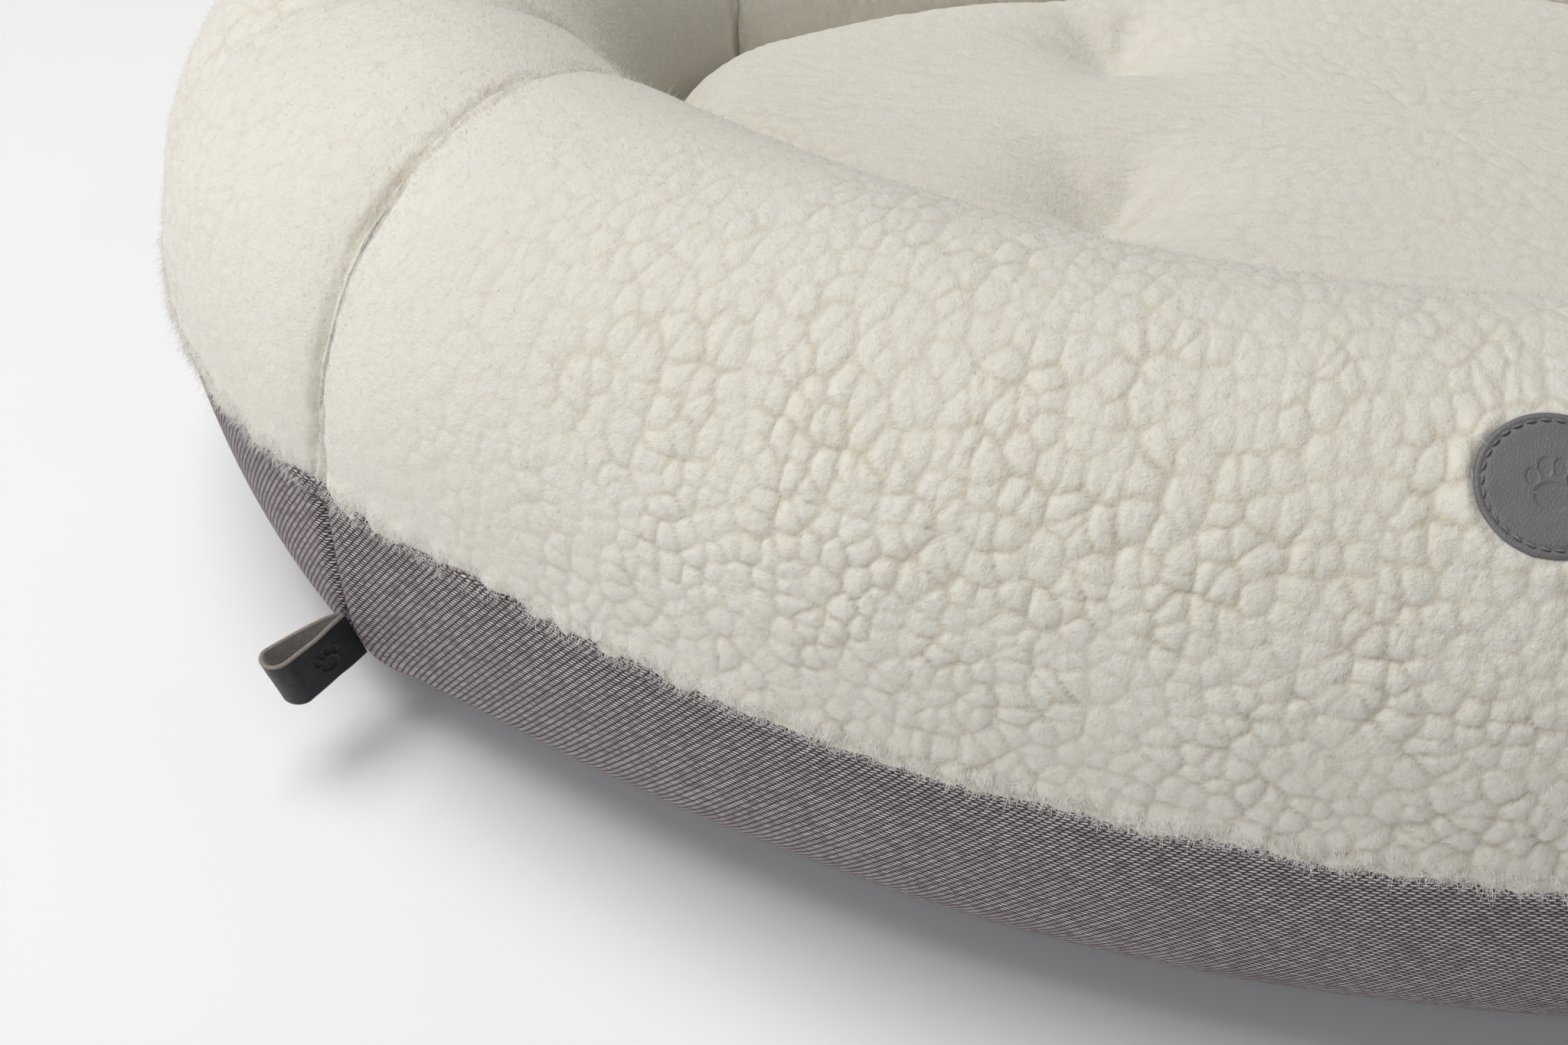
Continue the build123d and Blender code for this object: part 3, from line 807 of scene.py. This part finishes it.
def press_patch(front, crease):
    """Flatten the pile under the leather patch and let it swell round the patch's edge; clear the painted
    crease shade under the patch.
    """
    origin, axes = patch_frame()
    local = (front - origin) @ axes.T
    far = np.hypot(local[..., 0], local[..., 1])
    near = (np.abs(local[..., 2]) < 20 * MM) & (far < 2 * PATCH_RADIUS)
    seat = 1 - ease((far - PATCH_RADIUS + 1 * MM) / (3 * MM))
    swell = 1.8 * MM * bell(far - PATCH_RADIUS - 3 * MM, 4 * MM)
    local[..., 2] = np.where(near, local[..., 2] * (1 - seat) - 0.4 * MM * seat + swell, local[..., 2])
    # The painted crease shade is cleared where the patch sits.
    return local @ axes + origin, np.where(near, crease * (1 - seat), crease)


def fleece_panel(panel, seed):
    """One side's fleece, from under the folded edge over the crest to the nest's floor."""
    step = PILE_STEP[panel]
    theta = columns(panel, step, BACKING_RATIO)
    lengths, ins, heights, angles = trim_rows(fleece_section(step), BACKING_RATIO)
    lift, crease = fleece_lift(panel, theta, ins, lengths, seed)
    front = place(panel, theta, ins, heights, angles, lift)
    front[..., 2] -= overhang(panel, theta, lengths, seed)
    if panel == "front":
        front, crease = press_patch(front, crease)
    back = place(panel, theta, ins, heights, angles, -FLEECE)
    obj = backed_grid(f"{panel}_fleece_cover", front, back, BACKING_RATIO, SHERPA)
    # Painted shade for the sherpa material: how dark each point's crease is painted; the backing points get
    # none.
    spare = len(obj.data.vertices) - crease.size
    point_value(obj, "crease", np.concatenate([crease.ravel(), np.zeros(spare)]))
    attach(obj, "bed_rim")
    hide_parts(f"fleece_{panel}")
    pile_wisps(panel, front, angles, theta, lengths, seed)


def wisps(name, roots, directions, droops, lengths, thick, look):
    """Closed curved fibres: a three-sided stem that bends to a point."""
    side = np.cross(directions, droops)
    side /= np.linalg.norm(side, axis=1)[:, None] + 1e-9
    other = np.cross(directions, side)
    rings = []
    for share, width in ((0.0, 1.0), (0.5, 0.8)):
        spine = roots + directions * lengths[:, None] * share + droops * lengths[:, None] * share**2
        for angle in np.radians([0, 120, 240]):
            rings.append(spine + thick[:, None] * width * (side * cos(angle) + other * sin(angle)))
    rings.append(roots + directions * lengths[:, None] * 0.85 + droops * lengths[:, None])
    points = np.stack(rings, axis=1)
    first = np.arange(len(roots))[:, None] * len(rings)
    quads = np.concatenate([first + [i, (i + 1) % 3, (i + 1) % 3 + 3, i + 3] for i in range(3)])
    tips = np.concatenate([first + [i + 3, (i + 1) % 3 + 3, 6] for i in range(3)])
    obj = new_mesh(name, points.reshape(-1, 3), [quads, tips, first + [2, 1, 0]], [look])
    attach(obj, "bed_rim")


def unit(vectors):
    """The same directions, each one long."""
    return vectors / np.linalg.norm(vectors, axis=1)[:, None]


def sprout(front, theta, angles, col, row, rng):
    """Random spots on the chosen faces of a fleece grid, and the outward normal at each."""
    slide = rng.random((len(col), 2))
    roots = front[col, row] + (front[col + 1, row] - front[col, row]) * slide[:, :1]
    roots = roots + (front[col, row + 1] - front[col, row]) * slide[:, 1:]
    turn = theta[col]
    tilt = angles[row]
    normal = np.stack([np.cos(turn) * np.cos(tilt), np.sin(turn) * np.cos(tilt), np.sin(tilt)], axis=1)
    return roots - normal * 0.4 * MM, normal


def pile_wisps(panel, front, angles, theta, lengths, seed):
    """Loose fibres that stand off the fleece, thickest over the folded edge and along the seams."""
    rng = np.random.default_rng(seed)
    count = WISPS[panel]
    cols = len(theta)
    low, brow, high = np.searchsorted(lengths, (4 * MM, 12 * MM, WISP_REACH))
    shares = rng.random(count)
    col = rng.integers(0, cols - 1, count)
    row = rng.integers(low, high, count)
    edge = shares < 0.30
    row[edge] = rng.integers(low, brow, edge.sum())
    seam = shares > 0.88
    near = np.abs(rng.normal(0, 5, seam.sum())).astype(int)
    col[seam] = np.where(rng.random(seam.sum()) < 0.5, near, cols - 2 - near)
    roots, normal = sprout(front, theta, angles, col, row, rng)
    direction = normal + 0.6 * rng.normal(0, 1, (count, 3))
    direction[:, 2] -= np.where(edge, 0.5, 0.0)
    droop = 0.5 * rng.normal(0, 1, (count, 3))
    droop[:, 2] -= np.where(edge, 0.5, 0.15)
    reach = WISP_LENGTH * (0.5 + rng.random(count))
    thick = np.where(edge, 1.7, 1.0) * WISP_THICK
    wisps(f"{panel}_pile_wisps", roots, unit(direction), droop, reach, thick, PILE_FIBRE)


def yarn_wisps(panel, points, seed):
    """Short ends of yarn along the top of the folded edge."""
    rng = np.random.default_rng(seed)
    cols, rows = points.shape[:2]
    count = cols * YARN_ENDS
    col = rng.integers(0, cols - 1, count)
    row = rng.integers(rows // 4 - 3, rows // 4 + 2, count)
    share = rng.random((count, 1))
    roots = points[col, row] * share + points[col + 1, row] * (1 - share)
    outward = unit(points[col, 0] - points[col, rows // 2])
    direction = 0.8 * outward + 0.6 * rng.normal(0, 1, (count, 3))
    direction[:, 2] += 0.7
    droop = 0.5 * rng.normal(0, 1, (count, 3))
    reach = YARN_END * (0.4 + rng.random(count))
    thick = np.full(count, WISP_THICK * 1.2)
    wisps(f"{panel}_yarn_ends", roots, unit(direction), droop, reach, thick, YARN)


def band_lift(panel, theta, ins, lengths, seed):
    """Slight pull and ease of the band, drawn in along its seams, which stand out near the base."""
    x, y = flat_cloth(panel, theta, lengths)
    lift = 0.7 * MM * value_noise(x / 0.09, y / 0.05, seed)
    lift += 0.35 * MM * value_noise(x / 0.03, y / 0.04, seed + 1)
    seam = np.minimum(*seam_distance(panel, theta, ins))
    lift += 1.0 * MM * bell(seam - 6 * MM, 6 * MM) - 2.0 * MM * bell(seam, 1.8 * MM)
    corner = CORNER_STAND * np.exp(-((seam / CORNER_REACH) ** 1.5)) * ease((y - 8 * MM) / (70 * MM))
    return (lift + corner) * ease((BAND_END - y) / (40 * MM))


def band_panel(panel, seed):
    """One side's twill, from the fleece seam to the underside."""
    theta = columns(panel, BAND_STEP)
    lengths, ins, heights, angles = band_section(BAND_STEP)
    lift = band_lift(panel, theta, ins, lengths, seed)
    front = place(panel, theta, ins, heights, angles, lift)
    back = place(panel, theta, ins, heights, angles, lift - TWILL)
    keep = zip_opening(theta, lengths) | (panel != "back")
    obj, used = cloth_shell(f"{panel}_twill_band", front, back, TWILL_CLOTH, keep)
    radius = PANELS[panel][1]
    flat = np.stack(np.broadcast_arrays(theta[:, None] * radius, -lengths[None, :]), axis=-1)
    cloth_map(obj, np.concatenate([flat.reshape(-1, 2)] * 2)[used])
    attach(obj, "bed_rim")
    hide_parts(f"band_{panel}")


def zip_opening(theta, lengths):
    """Which faces of the back band are cloth: all but the slot over the zip."""
    low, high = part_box("zip_teeth")
    half = asin(high[0] / (FRONT_RADIUS - BAND_IN))
    middle = BAND_RADIUS * asin((SEAM_HEIGHT - (low[2] + high[2]) / 2) / BAND_RADIUS)
    mid_theta = (theta[1:] + theta[:-1]) / 2 - pi / 2
    mid_length = (lengths[1:] + lengths[:-1]) / 2 - middle
    inside = (np.abs(mid_theta) < half)[:, None] & (np.abs(mid_length) < 5 * MM)[None, :]
    return ~inside


def hem_panel(panel, seed):
    """The band's folded edge: a soft flat roll that stands off the cloth."""
    theta = columns(panel, HEM_STEP)
    (centre_x, centre_y), radius, _, _ = PANELS[panel]
    around = np.linspace(0, tau, 17)
    turn = theta[:, None]
    x = turn * radius
    wave = 0.5 * MM * line_noise(x, 16 * MM, seed) + 0.25 * MM * line_noise(x, 5 * MM, seed + 1)
    pinch = bell(np.minimum(*seam_distance(panel, theta, np.zeros(1))), 5 * MM)
    squared = np.sign(np.cos(around)) * np.abs(np.cos(around)) ** 0.75
    out = BAND_RADIUS + HEM_PROUD / 2 + (HEM_PROUD / 2 + 0.25 * MM) * squared + wave * 0.6 - 1.2 * MM * pinch
    run = HEM_HEIGHT / 2 - wave - (HEM_HEIGHT / 2 + 0.3 * MM) * np.sin(around)
    drop = run / BAND_RADIUS
    reach = radius - BAND_IN - BAND_RADIUS + out * np.cos(drop)
    z = SEAM_HEIGHT - out * np.sin(drop)
    points = np.stack([centre_x + reach * np.cos(turn), centre_y + reach * np.sin(turn), z], axis=-1)
    cols, rows = points.shape[:2]
    ends = [np.arange(rows - 1), np.arange(rows - 1)[::-1] + (cols - 1) * rows]
    quads = grid_quads(cols, rows)
    quads = np.where(quads % rows == rows - 1, quads - (rows - 1), quads)
    used = np.unique(quads)
    lookup = np.zeros(cols * rows, dtype=np.int64)
    lookup[used] = np.arange(len(used))
    faces = [lookup[quads], lookup[np.stack(ends)]]
    obj = new_mesh(f"{panel}_folded_edge", points.reshape(-1, 3)[used], faces, [HEM_CLOTH])
    flat = np.stack(np.broadcast_arrays(x, -run), axis=-1)
    cloth_map(obj, flat.reshape(-1, 2)[used])
    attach(obj, "bed_rim")
    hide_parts(f"hem_{panel}")
    yarn_wisps(panel, points, seed + 5)
    return obj


# ---------------------------------------------------------------- cushion

def oval_outline(inset, step):
    """Points and outward normals round the plan oval at an inset."""
    points = []
    normals = []
    for (centre_x, centre_y), radius, start, sweep in PANELS.values():
        count = round(radians(sweep) * (radius - CUSHION_IN) / step)
        theta = np.radians(start + sweep * np.arange(count) / count)
        normal = np.stack([np.cos(theta), np.sin(theta)], axis=1)
        points.append(normal * (radius - inset) + (centre_x, centre_y))
        normals.append(normal)
    return np.concatenate(points), np.concatenate(normals)


def cushion_form(round_in, seam, top, step):
    """Rings of points from the cushion's seam round the edge and across to the middle.

    Gives the plan points, the heights, the normals and the unrolled plan for the pile.
    """
    _, normal = oval_outline(CUSHION_IN, step)
    rise = top - seam
    inner, _ = oval_outline(CUSHION_IN + round_in, step)
    level = np.ones(len(inner))
    length = abs(rise) * 1.25
    rings = []
    for angle in np.linspace(0, pi / 2, round(hypot(round_in, rise) * 1.15 / step)):
        plan, _ = oval_outline(CUSHION_IN + round_in * (1 - cos(angle)), step)
        facing = np.column_stack([normal * cos(angle), level * sin(angle) * np.sign(rise)])
        unrolled = inner + normal * length * (1 - 2 * angle / pi)
        rings.append((plan, level * (seam + rise * sin(angle)), facing, unrolled))
    half = HALF_DEPTH - CUSHION_IN - round_in
    upright = np.tile((0, 0, np.sign(rise)), (len(inner), 1))
    for share in np.linspace(1, 0, round(1.3 * half / step))[1:-1]:
        rings.append((inner * share, level * top, upright, inner * share))
    return tuple(np.stack(part) for part in zip(*rings))


def tufts(x, y):
    """How much each place is pulled down by the ties, with soft folds running out from them."""
    pull = np.zeros(x.shape)
    for side_x in (-1, 1):
        for side_y in (-1, 1):
            far_x = x - side_x * TUFT_X
            far_y = y - side_y * TUFT_Y
            far = np.hypot(far_x, far_y)
            fold = 1 + 0.10 * np.cos(6 * np.arctan2(far_y, far_x) + side_x) * ease(far / TUFT_SPREAD)
            pull += TUFT_DEPTH * fold * np.exp(-((far / TUFT_SPREAD) ** 1.5))
    return pull


def cushion():
    """Loose cushion: fleece above its seam, twill below, pulled down at four ties."""
    plan, height, facing, unrolled = cushion_form(TOP_ROUND, CUSHION_SEAM, CUSHION_TOP, CUSHION_STEP)
    x = plan[..., 0]
    y = plan[..., 1]
    reach = (x / (HALF_WIDTH - CUSHION_IN)) ** 2 + (y / (HALF_DEPTH - CUSHION_IN)) ** 2
    crown = CROWN * np.clip(1 - reach, 0, 1)
    height = height + (crown - tufts(x, y)) * np.clip(facing[..., 2], 0, 1)
    pile, crease = curls(unrolled[..., 0], unrolled[..., 1], 301, CUSHION_CURL)
    sag = 1.5 * MM * value_noise(unrolled[..., 0] / 0.08, unrolled[..., 1] / 0.07, 311)
    lift = 0.5 * MM * pile + sag
    top = np.concatenate([plan, height[..., None]], axis=-1) + facing * lift[..., None]
    plan, height, _, base_flat = cushion_form(BASE_ROUND, CUSHION_SEAM, CUSHION_BASE, CUSHION_STEP)
    base = np.concatenate([plan, height[..., None]], axis=-1)[:0:-1]
    rings = np.concatenate([base, top])
    index = np.arange(rings.shape[0] * rings.shape[1]).reshape(rings.shape[:2])
    quads = ring_quads(index)
    low_fan = fan(index[0], index.size)[:, [1, 0, 2]]
    high_fan = fan(index[-1], index.size + 1)
    points = np.concatenate([rings.reshape(-1, 3), [rings[0].mean(axis=0), rings[-1].mean(axis=0)]])
    obj = new_mesh("cushion_cover", points, [quads, low_fan, high_fan], [SHERPA, TWILL_CLOTH])
    twill_faces = np.zeros(len(obj.data.polygons), dtype=np.int32)
    twill_faces[: base.shape[0] * base.shape[1]] = 1
    twill_faces[len(quads): len(quads) + len(low_fan)] = 1
    obj.data.polygons.foreach_set("material_index", twill_faces)
    # Painted shade: the cushion's pile creases get painted crease shade at 0.3 strength, the twill underside
    # none.
    bare = np.zeros(base.shape[0] * base.shape[1])
    point_value(obj, "crease", np.concatenate([bare, 0.3 * crease.ravel(), [0, 0]]))
    flat = [base_flat[:0:-1].reshape(-1, 2), unrolled.reshape(-1, 2), [[0, 0], [0, 0]]]
    cloth_map(obj, np.concatenate(flat))
    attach(obj, "loose_cushion")
    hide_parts("cushion_top", "cushion_underside")


# ---------------------------------------------------------------- leather

def paw(x, y, size):
    """Depth of a plain paw print, 1 inside to 0 outside: one pad and four toes."""
    pads = [(0, -0.28, 0.42, 0.34), (-0.46, 0.16, 0.15, 0.21), (-0.17, 0.42, 0.16, 0.23),
            (0.17, 0.42, 0.16, 0.23), (0.46, 0.16, 0.15, 0.21)]
    depth = np.zeros(x.shape)
    for centre_x, centre_y, half_x, half_y in pads:
        far = np.hypot((x / size - centre_x) / half_x, (y / size - centre_y) / half_y)
        depth = np.maximum(depth, ease((1.12 - far) / 0.24))
    return depth


def patch_frame():
    """The patch's back face on the front of the crest: its origin and axes, z out of the fleece."""
    rise = radians(PATCH_RISE)
    reach = CREST_RADIUS - PATCH_SINK
    y = CREST_IN - HALF_DEPTH - reach * cos(rise)
    z = RIM_HEIGHT - CREST_RADIUS + reach * sin(rise)
    out = np.array([0, -cos(rise), sin(rise)])
    across = np.array([1.0, 0, 0])
    return np.array([0, y, z]), np.stack([across, np.cross(out, across), out])


def on_patch(points):
    """Points given in the patch's own frame, as shared points."""
    origin, axes = patch_frame()
    return np.asarray(points) @ axes + origin


def leather_patch():
    """Round patch with a soft edge, a sewn groove and a debossed paw print."""
    sectors = 288
    rings = 84
    angle = np.linspace(0, tau, sectors, endpoint=False)
    share = np.linspace(1, 0, rings, endpoint=False)
    radius = PATCH_RADIUS * share[:, None]
    x = radius * np.cos(angle)
    y = radius * np.sin(angle)
    z = np.full(x.shape, PATCH_THICK)
    z -= 0.7 * MM * np.clip(1 - (PATCH_RADIUS - radius) / (1.3 * MM), 0, 1) ** 2
    z -= 0.35 * MM * bell(radius - STITCH_RING, 0.9 * MM)
    z -= PATCH_PAW_DEPTH * paw(x, y, 11 * MM)
    z += 0.10 * MM * value_noise(x / (6 * MM), y / (6 * MM), 71)
    top = np.stack([x, y, z], axis=-1)
    foot = top[:1] * (1, 1, 0)
    points = np.concatenate([foot, top]).reshape(-1, 3)
    index = np.arange(len(points)).reshape(-1, sectors)
    faces = [ring_quads(index), fan(index[-1], index.size), index[0][::-1]]
    points = np.concatenate([points, [(0, 0, PATCH_THICK - PATCH_PAW_DEPTH)]])
    obj = new_mesh("round_patch", on_patch(points), faces, [GREY_LEATHER])
    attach(obj, "bed_rim")
    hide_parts("leather_patch")


def patch_stitches():
    """Rounded stitches that dip into the leather at both ends."""
    along = np.linspace(-0.5, 0.5, 9)
    around = np.linspace(0, tau, 8, endpoint=False)
    up = np.array([0, 0, 1])
    points = []
    quads = []
    ends = []
    for step in range(STITCHES):
        angle = tau * step / STITCHES
        radial = np.array([cos(angle), sin(angle), 0])
        slant = np.array([-sin(angle), cos(angle), 0]) + 0.12 * radial
        centre = radial * STITCH_RING + up * (PATCH_THICK - 0.25 * MM)
        circle = np.outer(np.cos(around), radial) + np.outer(np.sin(around), up)
        for share in along:
            spine = centre + slant * STITCH_LENGTH * share + up * 0.45 * MM * (1 - (2 * share) ** 2)
            points.append(spine + STITCH_THICK * (0.55 + 0.45 * cos(pi * share)) * circle)
        index = np.arange(len(along) * len(around)).reshape(len(along), len(around))
        index += step * index.size
        quads.append(ring_quads(index, inward=True))
        ends += [index[0], index[-1][::-1]]
    faces = [np.concatenate(quads), np.stack(ends)]
    obj = new_mesh("patch_stitches", on_patch(np.concatenate(points)), faces, [THREAD])
    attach(obj, "bed_rim")
    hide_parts("patch_stitching")


def tag_place():
    """Where the strap opens, just out of the front left seam: its origin and three directions."""
    (centre_x, centre_y), radius, start, _ = PANELS["front"]
    angle = radians(start)
    drop = radians(TAG_DROP)
    reach = BAND_RADIUS + TAG_STAND
    out = radius - BAND_IN - BAND_RADIUS + reach * cos(drop)
    origin = (centre_x + out * cos(angle), centre_y + out * sin(angle), SEAM_HEIGHT - reach * sin(drop))
    outward = np.array([cos(angle), sin(angle), 0])
    up = np.array([cos(angle) * sin(drop), sin(angle) * sin(drop), cos(drop)])
    along = np.array([-sin(angle), cos(angle), 0])
    return np.array(origin), outward, up, along


def tag_path(samples):
    """Middle line of the strap seen from above: out along one side, round the tip and back."""
    root = 0.4 * MM + TAG_LEATHER
    small = TAG_LEATHER / 2
    big = TAG_TIP_RADIUS - TAG_LEATHER / 2
    tip = TAG_LENGTH - TAG_TIP_RADIUS
    gap = tip - root
    spread = acos((small - big) / gap) if abs(small - big) < gap else pi / 2
    lean = np.array([cos(spread), sin(spread)])
    near = np.array([(root, 0) + small * lean, (tip, 0) + big * lean])
    straight = hypot(*(near[1] - near[0]))
    turn = 2 * spread * big
    distance = np.linspace(0, 2 * straight + turn, samples)
    points = []
    normals = []
    for d in distance:
        if d < straight:
            share = d / straight
            normal = lean
            point = near[0] + (near[1] - near[0]) * share + normal * 0.9 * MM * sin(pi * share)
        elif d < straight + turn:
            angle = spread - (d - straight) / big
            normal = np.array([cos(angle), sin(angle)])
            point = np.array([tip, 0]) + big * normal
        else:
            share = (d - straight - turn) / straight
            normal = lean * (1, -1)
            point = (near[1] + (near[0] - near[1]) * share) * (1, -1) + normal * 0.3 * MM * sin(pi * share)
        points.append(point)
        normals.append(normal)
    return distance, np.array(points), np.array(normals)


def tag_loop():
    """Folded strap: smooth face outside, raw flesh side inside, pale cut edges."""
    origin, outward, up, along = tag_place()
    samples = 190
    distance, middle, normal = tag_path(samples)
    across = np.linspace(-0.5, 0.5, 60)
    bead = np.radians(np.linspace(75, -75, 6))
    half = TAG_LEATHER / 2
    flat_width = TAG_WIDTH - TAG_LEATHER
    outside = [(w * flat_width, half) for w in across]
    outside += [(flat_width / 2 + half * cos(a), half * sin(a)) for a in bead]
    profile = np.concatenate([outside, -np.array(outside)])
    width, depth = np.tile(profile.T[:, None, :], (1, samples, 1))
    face = np.arange(len(profile)) < len(across)
    run = distance[:, None]
    depth = depth - TAG_PAW_DEPTH * paw(run - distance[-1] * 0.80, width, 8.5 * MM) * face
    uneven = 0.35 * MM * line_noise(run, 7 * MM, 91)
    width = width + np.sign(width) * uneven * (np.abs(width) / (TAG_WIDTH / 2)) ** 4
    depth = depth + 0.08 * MM * value_noise(run / (4 * MM), width / (4 * MM), 93)
    flat = middle[:, None, :] + normal[:, None, :] * depth[..., None]
    points = origin + flat[..., :1] * outward - flat[..., 1:] * along + width[..., None] * up
    rows = len(profile)
    index = np.arange(samples * rows).reshape(samples, rows)
    faces = [ring_quads(index, inward=True), np.stack([index[0], index[-1][::-1]])]
    obj = new_mesh("tag_strap", points.reshape(-1, 3), faces, [DARK_LEATHER, CUT_EDGE, FLESH])
    edge = len(across) + len(bead)
    zone = np.ones(rows, dtype=np.int32)
    zone[: len(across) - 1] = 0
    zone[edge: edge + len(across) - 1] = 2
    material_of = np.concatenate([np.tile(zone, samples - 1), [1, 1]]).astype(np.int32)
    obj.data.polygons.foreach_set("material_index", material_of)
    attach(obj, "tag")
    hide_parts("tag_loop")


# ---------------------------------------------------------------- carried-over nodes

def finish_nodes():
    """Materials for the CAD pieces that stay."""
    looks = {
        "bottom_panel": BASE, "base_pad": FOAM, "nest_floor": LINING, "hem_topstitch": DARK_THREAD,
        "rim_casing": LINING, "rim_filling": FILLING, "tag_tails": DARK_LEATHER,
        "zip_tape_upper": TAPE, "zip_tape_lower": TAPE, "zip_teeth": COIL, "zip_stops": METAL,
        "zip_slider": METAL, "zip_pull": METAL,
        "cushion_casing": LINING, "cushion_filling": FILLING, "tuft_ties": THREAD,
    }
    for node, look in looks.items():
        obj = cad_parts[node]
        for place_of in obj.material_slots:
            place_of.material = look
        if not obj.material_slots:
            obj.data.materials.append(look)


# ---------------------------------------------------------------- stage

def floor():
    """Plain pale floor."""
    corners = [(FLOOR_HALF * x, FLOOR_HALF * y, 0) for x, y in ((-1, -1), (1, -1), (1, 1), (-1, 1))]
    s = Shade("pale_floor")
    grain = s.noise(s.place(), 6.0)
    s.set(Base_Color=s.mix(grain, rgb(243, 244, 246), rgb(247, 248, 250)), Roughness=0.8)
    obj = new_mesh("pale_floor", corners, [(0, 1, 2, 3)], [s.material], smooth=False)


def lamp(name, position, size, power, colour):
    """A soft square lamp that looks at the bed."""
    data = bpy.data.lights.new(name, "AREA")
    data.size = size
    data.energy = power
    data.color = colour
    obj = bpy.data.objects.new(name, data)
    obj.location = position
    away = np.subtract(LAMP_TARGET, position)
    obj.rotation_euler = (acos(-away[2] / np.linalg.norm(away)), 0, atan2(away[1], away[0]) - pi / 2)
    bpy.context.scene.collection.objects.link(obj)


def studio():
    """A soft key lamp high on the left, a fill from the front left, and a dim sky."""
    world = bpy.data.worlds.new("studio")
    world.use_nodes = True
    sky = world.node_tree.nodes["Background"]
    sky.inputs["Color"].default_value = (0.95, 0.97, 1.0, 1.0)
    sky.inputs["Strength"].default_value = SKY
    bpy.context.scene.world = world
    for name, setting in LAMPS.items():
        lamp(name, *setting)
    bpy.context.scene.view_settings.view_transform = "Standard"


def camera():
    """The viewpoint, in front of the bed and looking down on its front left."""
    data = bpy.data.cameras.new("view")
    data.lens = LENS
    data.sensor_width = SENSOR
    data.clip_start = 0.01
    obj = bpy.data.objects.new("view", data)
    obj.location = VIEW_FROM
    obj.rotation_euler = (radians(90 - LOOK_DOWN), 0, radians(LOOK_LEFT))
    bpy.context.scene.collection.objects.link(obj)
    bpy.context.scene.camera = obj


camera()
studio()
floor()
for number, panel in enumerate(PANELS):
    fleece_panel(panel, 100 + 50 * number)
    folded_edge = hem_panel(panel, 500 + 10 * number)
    band_panel(panel, 400 + 10 * number)
cushion()
leather_patch()
patch_stitches()
tag_loop()
finish_nodes()
